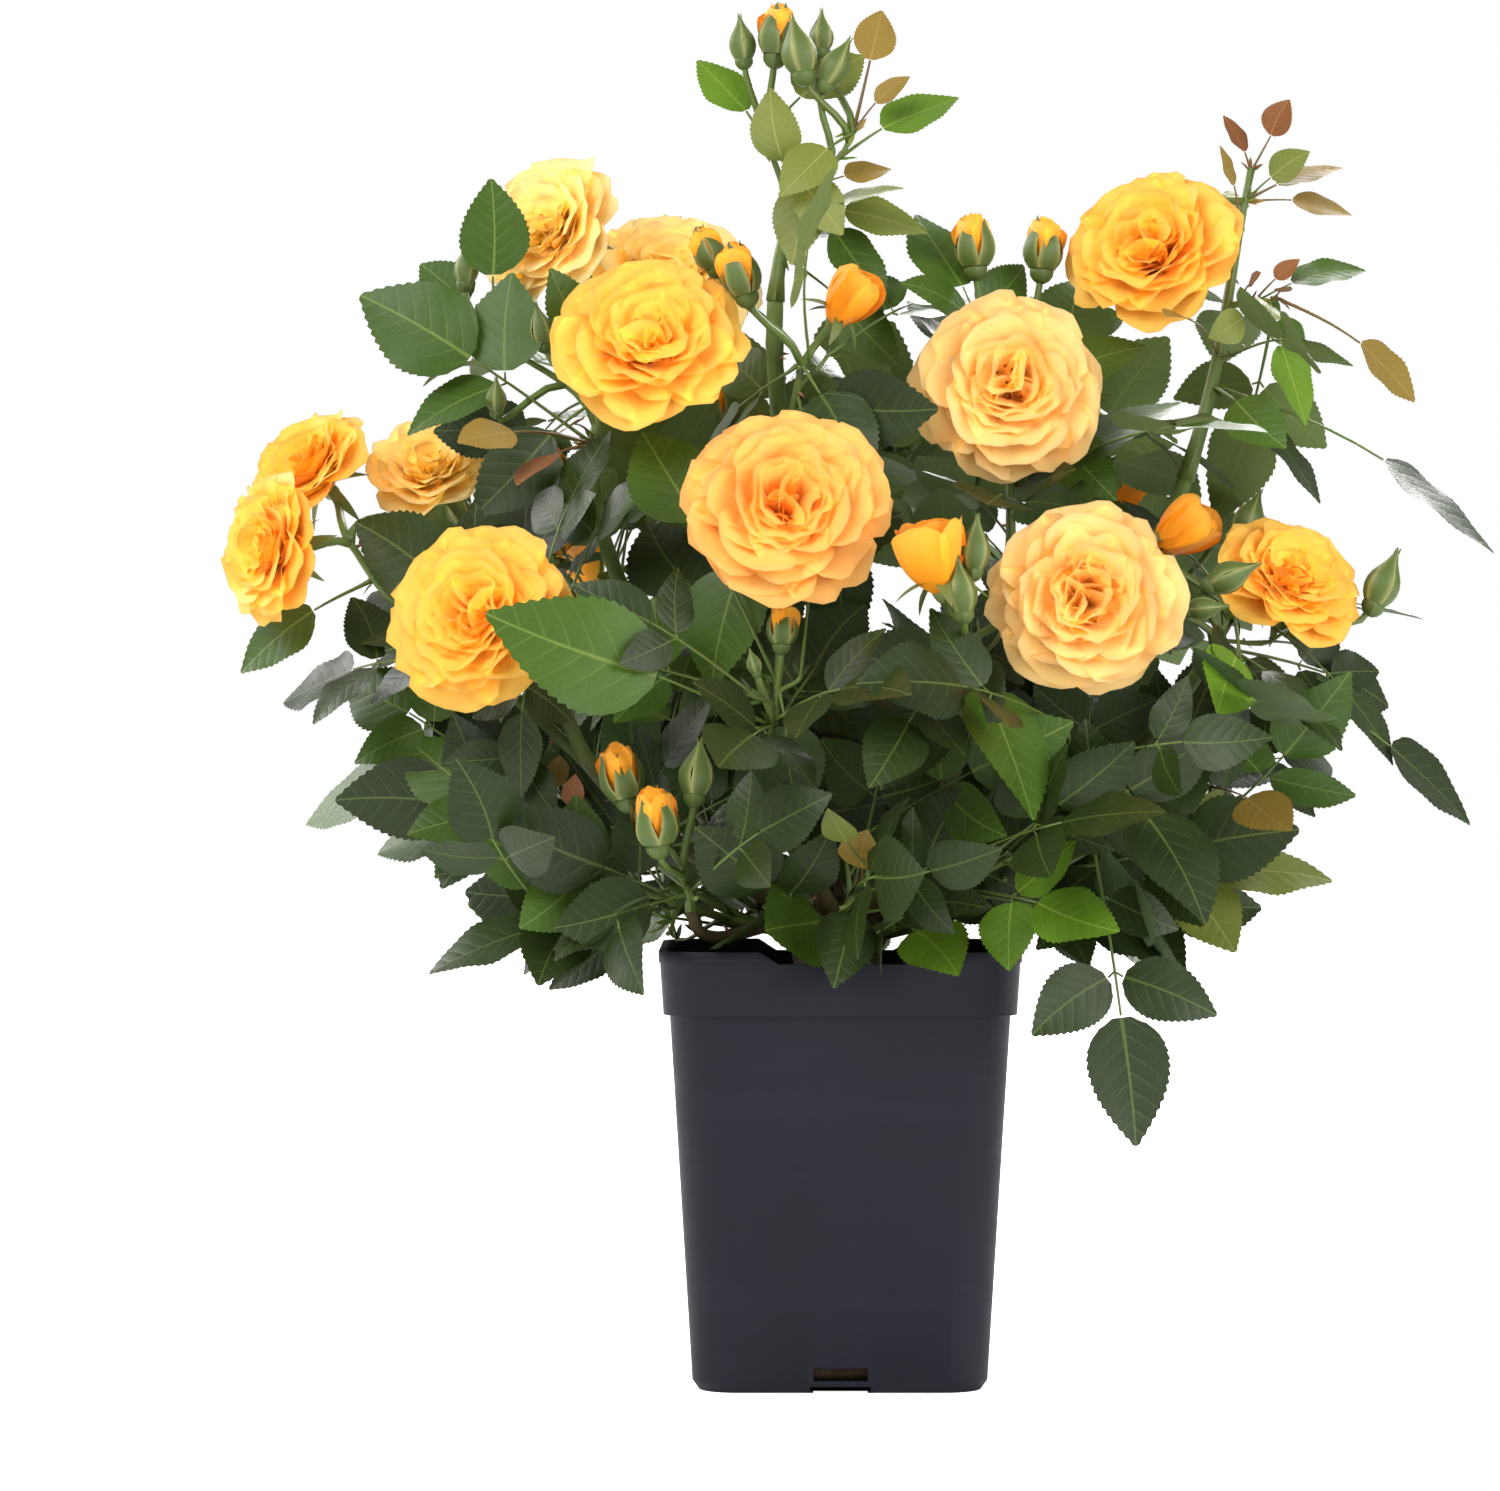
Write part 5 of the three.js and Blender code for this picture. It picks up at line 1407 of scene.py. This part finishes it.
def prickle_tree(sizes):
    """Prickles: short cones that stand on the wood, each leaning a little its own way."""
    tree, given, spread, place = strewn_tree("prickles", sizes)
    cone = add_node(tree, "GeometryNodeMeshCone", {
        "Vertices": 6, "Side Segments": 3, "Radius Top": 0.0, "Radius Bottom": given["Foot"],
        "Depth": given["Height"]})
    plug(place["Instance"], cone.outputs["Mesh"])
    sway = random_value(tree, (-0.3, -0.3, 0), (0.3, 0.3, 6.3), 3)
    lean = add_node(tree, "FunctionNodeRotateRotation", {
        "Rotation": spread["Rotation"], "Rotate By": sway}, rotation_space="LOCAL")
    plug(place["Rotation"], lean.outputs[0])
    plug(place["Scale"], random_value(tree, (0.7, 0.7, 0.6), (1.1, 1.1, 1.25), 5))
    return tree


PRICKLES = {"Density": 1500.0, "Foot": 0.0011, "Height": 0.0042, "Seed": 11}
PRICKLE = green_finish("prickle", "#8c4a2a", "#74351f", "#a8663a", 0.45)
strewn("prickles", PILES["prickly"].mesh("prickly"), prickle_tree(PRICKLES), PRICKLES, PRICKLE)


# ---- pot, soil and graft union ----
ARC = 8
SIDE = 6


def rounded_square():
    """The outline of a rounded square of half width 1, with points along its sides."""
    points = []
    reach = 1 - POT["corner"]
    for corner in range(4):
        middle = (corner + 0.5) * math.pi / 2
        heart = vec(math.cos(middle), math.sin(middle)) * reach * math.sqrt(2)
        for step in range(ARC + 1):
            turn = (corner + step / ARC) * math.pi / 2
            points.append(heart + POT["corner"] * vec(math.cos(turn), math.sin(turn)))
        after = math.radians(90 * (corner + 1))
        beyond = middle + math.pi / 2
        next_heart = vec(math.cos(beyond), math.sin(beyond)) * reach * math.sqrt(2)
        start = points[-1]
        end = next_heart + POT["corner"] * vec(math.cos(after), math.sin(after))
        points += [mix(start, end, k / SIDE) for k in range(1, SIDE)]
    return np.array(points)


OUTLINE = rounded_square()


def square_shell(profile):
    """Points and faces of a shape turned on the rounded square and closed at both ends."""
    count = len(OUTLINE)
    points = [np.column_stack([OUTLINE * half, np.full(count, z)]) for half, z in profile]
    faces = grid_faces(len(profile), count, closed=True) + cap_faces(len(profile), count, count)
    return np.concatenate(points), faces


def plain_mesh(name, points, faces):
    made = bpy.data.meshes.new(name)
    made.from_pydata([tuple(point) for point in points * MM], [], faces)
    made.update()
    return made


def wall_at(z):
    """Half the pot's outer width at that height, below the collar."""
    return mix(POT["foot"], POT["shoulder"], (z - 7) / (COLLAR_FOOT - 7))


def block(name, low, high, turn):
    """A cutter in the shape of a box, turned by quarter turns round the pot."""
    corners = [(x, y, z) for z in (low[2], high[2]) for x, y in
               ((low[0], low[1]), (high[0], low[1]), (high[0], high[1]), (low[0], high[1]))]
    return cutter(name, corners, turn)


def cutter(name, corners, turn):
    """A solid with four corners below and four above, turned by quarter turns round the pot."""
    cos, sin = ((1, 0), (0, 1), (-1, 0), (0, -1))[turn]
    points = np.array([(x * cos - y * sin, x * sin + y * cos, z) for x, y, z in corners], float)
    faces = [(3, 2, 1, 0), (4, 5, 6, 7), (0, 1, 5, 4), (1, 2, 6, 5), (2, 3, 7, 6), (3, 0, 4, 7)]
    made = bpy.data.objects.new(name, plain_mesh(name, points, faces))
    scene.collection.objects.link(made)
    return made


def pot_helpers():
    """What is joined to the pot's shell and cut from it: each solid with its operation."""
    rim, top, wall = (POT[key] for key in ("rim", "height", "wall"))
    half, height, depth = (DRAIN[key] for key in ("width", "height", "depth"))
    half = half / 2
    pad_top = height + DRAIN["pad"]
    face = wall_at(7)
    reach = face - wall / 2
    out = face + 5
    pads = []
    cuts = []
    for turn in range(4):
        pads.append(block(
            f"pad_{turn}", (-half - 2, -reach, 1), (half + 2, 2 - reach + depth, pad_top), turn))
        cuts.append(block(f"channel_{turn}", (-half, -out, -1), (half, -face + depth - 2, height), turn))
        cuts.append(block(
            f"slot_{turn}", (-half, -out, pad_top), (half, 8 - face, pad_top + DRAIN["slot"]), turn))
    low, high = RIM_NOTCH["bottom"] / 2, RIM_NOTCH["top"] / 2
    for turn in (0, 2):
        corners = [(x, y, z) for z, wide in ((top - RIM_NOTCH["depth"], low), (top + 0.5, high))
                   for x, y in ((-wide, -6 - rim), (wide, -6 - rim), (wide, 6 - rim), (-wide, 6 - rim))]
        cuts.append(cutter(f"notch_{turn}", corners, turn))
    return [("UNION", pad) for pad in pads] + [("DIFFERENCE", cut) for cut in cuts]


def make_pot():
    """The pot: a shell with a collar and lip, its drains and notches, and slightly rounded edges."""
    rim, wall, top, lip = (POT[key] for key in ("rim", "wall", "height", "lip"))
    inner = {z: wall_at(z) - wall for z in (POT["floor"], 8, COLLAR_FOOT - 3)}
    profile = [
        (wall_at(0) - 3, 0), (wall_at(5), 5), (wall_at(COLLAR_FOOT), COLLAR_FOOT), (rim - 2.4, COLLAR_FOOT),
        (rim - 0.7, top - lip), (rim, top - lip), (rim, top), (rim - wall, top),
        (rim - wall - 1.2, COLLAR_FOOT + 4), (inner[COLLAR_FOOT - 3], COLLAR_FOOT - 3),
        (inner[8], 8), (inner[POT["floor"]] - 4, POT["floor"]),
    ]
    pot = bpy.data.objects.new("pot_shell", plain_mesh("pot_shell", *square_shell(profile)))
    scene.collection.objects.link(pot)
    helpers = pot_helpers()
    for operation, helper in helpers:
        cut = pot.modifiers.new(helper.name, "BOOLEAN")
        cut.operation = operation
        cut.solver = "EXACT"
        cut.object = helper
    soften = pot.modifiers.new("soften", "BEVEL")
    soften.width = 0.0006
    soften.segments = 2
    soften.limit_method = "ANGLE"
    soften.angle_limit = math.radians(30)
    mesh = bpy.data.meshes.new_from_object(pot.evaluated_get(bpy.context.evaluated_depsgraph_get()))
    mesh.name = "pot_body"
    for operation, helper in helpers:
        bpy.data.objects.remove(helper)
    bpy.data.objects.remove(pot)
    mesh.shade_smooth()
    mesh.set_sharp_from_angle(angle=math.radians(32))
    return mesh


put("pot_body", make_pot(), pot_finish(), ["pot"])


def make_soil():
    """The block of compost, with a lumpy top."""
    dice = np.random.default_rng(SEED + 400)
    bottom = DRAIN["height"] + DRAIN["pad"] + GAP
    side = POT["rim"] - POT["wall"] - 1.2 - GAP
    inside = POT["wall"] + GAP
    profile = [
        (wall_at(bottom) - inside - 3, bottom), (wall_at(bottom + 4) - inside, bottom + 4),
        (wall_at(COLLAR_FOOT - 3) - inside, COLLAR_FOOT - 3), (side, COLLAR_FOOT + 5),
        (side, SOIL_TOP - 2.5),
    ]
    profile += [(side * share, SOIL_TOP - 0.5) for share in np.linspace(0.985, 0.04, 22)]
    points, faces = square_shell(profile)
    top = points[:, 2] > SOIL_TOP - 1
    lumps = dice.normal(0, 1, top.sum())
    points[top, 2] += np.clip(lumps * 0.7, -2, 0.5)
    return plain_mesh("soil_block", points, faces)


soil = put("soil_block", make_soil(), soil_finish("compost", 0.2), ["soil"])
soil.data.shade_smooth()


def chip_tree(sizes):
    """Chips of bark and grit: flattened lumps that lie every way."""
    tree, given, spread, place = strewn_tree("chips", sizes)
    lump = add_node(tree, "GeometryNodeMeshIcoSphere", {"Radius": given["Size"], "Subdivisions": 1})
    plug(place["Instance"], lump.outputs["Mesh"])
    plug(place["Rotation"], random_value(tree, (-0.3, -0.3, 0), (0.3, 0.3, 6.3), 3))
    plug(place["Scale"], random_value(tree, (0.6, 0.4, 0.25), (2.2, 1.1, 0.6), 5))
    return tree


def soil_face():
    """The open top of the compost, out to just inside the walls."""
    side = 78
    corners = [(x, y, SOIL_TOP) for x, y in ((-side, -side), (side, -side), (side, side), (-side, side))]
    return plain_mesh("soil_face", np.array(corners), [(0, 1, 2, 3)])


CHIPS = {"Density": 32000.0, "Size": 0.0021, "Seed": 4}
strewn("soil_chips", soil_face(), chip_tree(CHIPS), CHIPS, soil_finish("bark_chips", 0.9))


def union_mesh():
    """The knobbly graft union: a swollen neck on a root flare."""
    dice = np.random.default_rng(SEED + 500)
    heart, width, height, flare = (UNION[key] for key in ("heart", "width", "height", "flare"))
    foot = SOIL_TOP + GAP
    profile = [(flare, foot), (flare * 0.93, foot + 3), (width * 0.9, foot + 9)]
    for angle in np.linspace(-0.15, 1.5, 10):
        profile.append((width * math.cos(angle), heart + height * math.sin(angle)))
    sides = 28
    points = []
    for radius, z in profile:
        for k in range(sides):
            turn = 2 * math.pi * k / sides
            swell = 1 + 0.06 * math.sin(3 * turn + z * 0.2) + 0.04 * math.sin(7 * turn - z * 0.3)
            swell = min(swell + dice.normal(0, 0.012), 1.05)
            points.append((radius * swell * math.cos(turn), radius * swell * math.sin(turn), z))
    faces = grid_faces(len(profile), sides, closed=True) + cap_faces(len(profile), sides, sides)
    return plain_mesh("graft_union", np.array(points), faces)


union = put("union_bark", union_mesh(), BARK, ["graft_union"])
union.data.shade_smooth()


# ---- floor, lights and sky ----
floor_mesh = bpy.data.meshes.new("floor")
floor_mesh.from_pydata([(-9, -9, 0), (9, -9, 0), (9, 9, 0), (-9, 9, 0)], [], [(0, 1, 2, 3)])
floor = bpy.data.objects.new("floor", floor_mesh)
scene.collection.objects.link(floor)
floor_finish = Finish("studio_floor", 0.9, 0.0, Base_Color=(0.95, 0.95, 0.95, 1),
                      Emission_Color=(1, 1, 1, 1))
floor_finish.feed("Emission Strength", floor_finish.value("LightPath", output="Is Camera Ray"))
floor_mesh.materials.append(floor_finish.made)

HEART = (0, 0, 0.4)


def lamp(name, at, size, power):
    """A round lamp that shines on the middle of the bush."""
    light = bpy.data.objects.new(name, bpy.data.lights.new(name, "AREA"))
    light.data.shape = "DISK"
    light.data.size = size
    light.data.energy = power
    light.location = at
    away = vec(*at) - vec(*HEART)
    tilt = math.acos(away[2] / np.linalg.norm(away))
    light.rotation_euler = (tilt, 0, math.atan2(away[1], away[0]) + math.pi / 2)
    scene.collection.objects.link(light)


lamp("key", (-1.6, -2.2, 2.4), 2.2, 80)
lamp("fill", (2.2, -1.8, 1.2), 2.2, 56)
lamp("rim", (0.6, 2.4, 1.8), 1.6, 80)
lamp("rim_left", (-2.3, 1.2, 1.7), 1.6, 55)

# The sky looks white to the camera and lights the bush more softly.
world = bpy.data.worlds.new("studio")
world.use_nodes = True
sky = world.node_tree.nodes["Background"].inputs
sky["Color"].default_value = (1, 1, 1, 1)
rays = add_node(world.node_tree, "ShaderNodeLightPath")
strength = add_node(world.node_tree, "ShaderNodeMapRange", {
    "To Min": 0.42, "To Max": 1.0, "Value": rays.outputs["Is Camera Ray"]})
plug(sky["Strength"], strength.outputs[0])
scene.world = world
scene.view_settings.view_transform = "Standard"
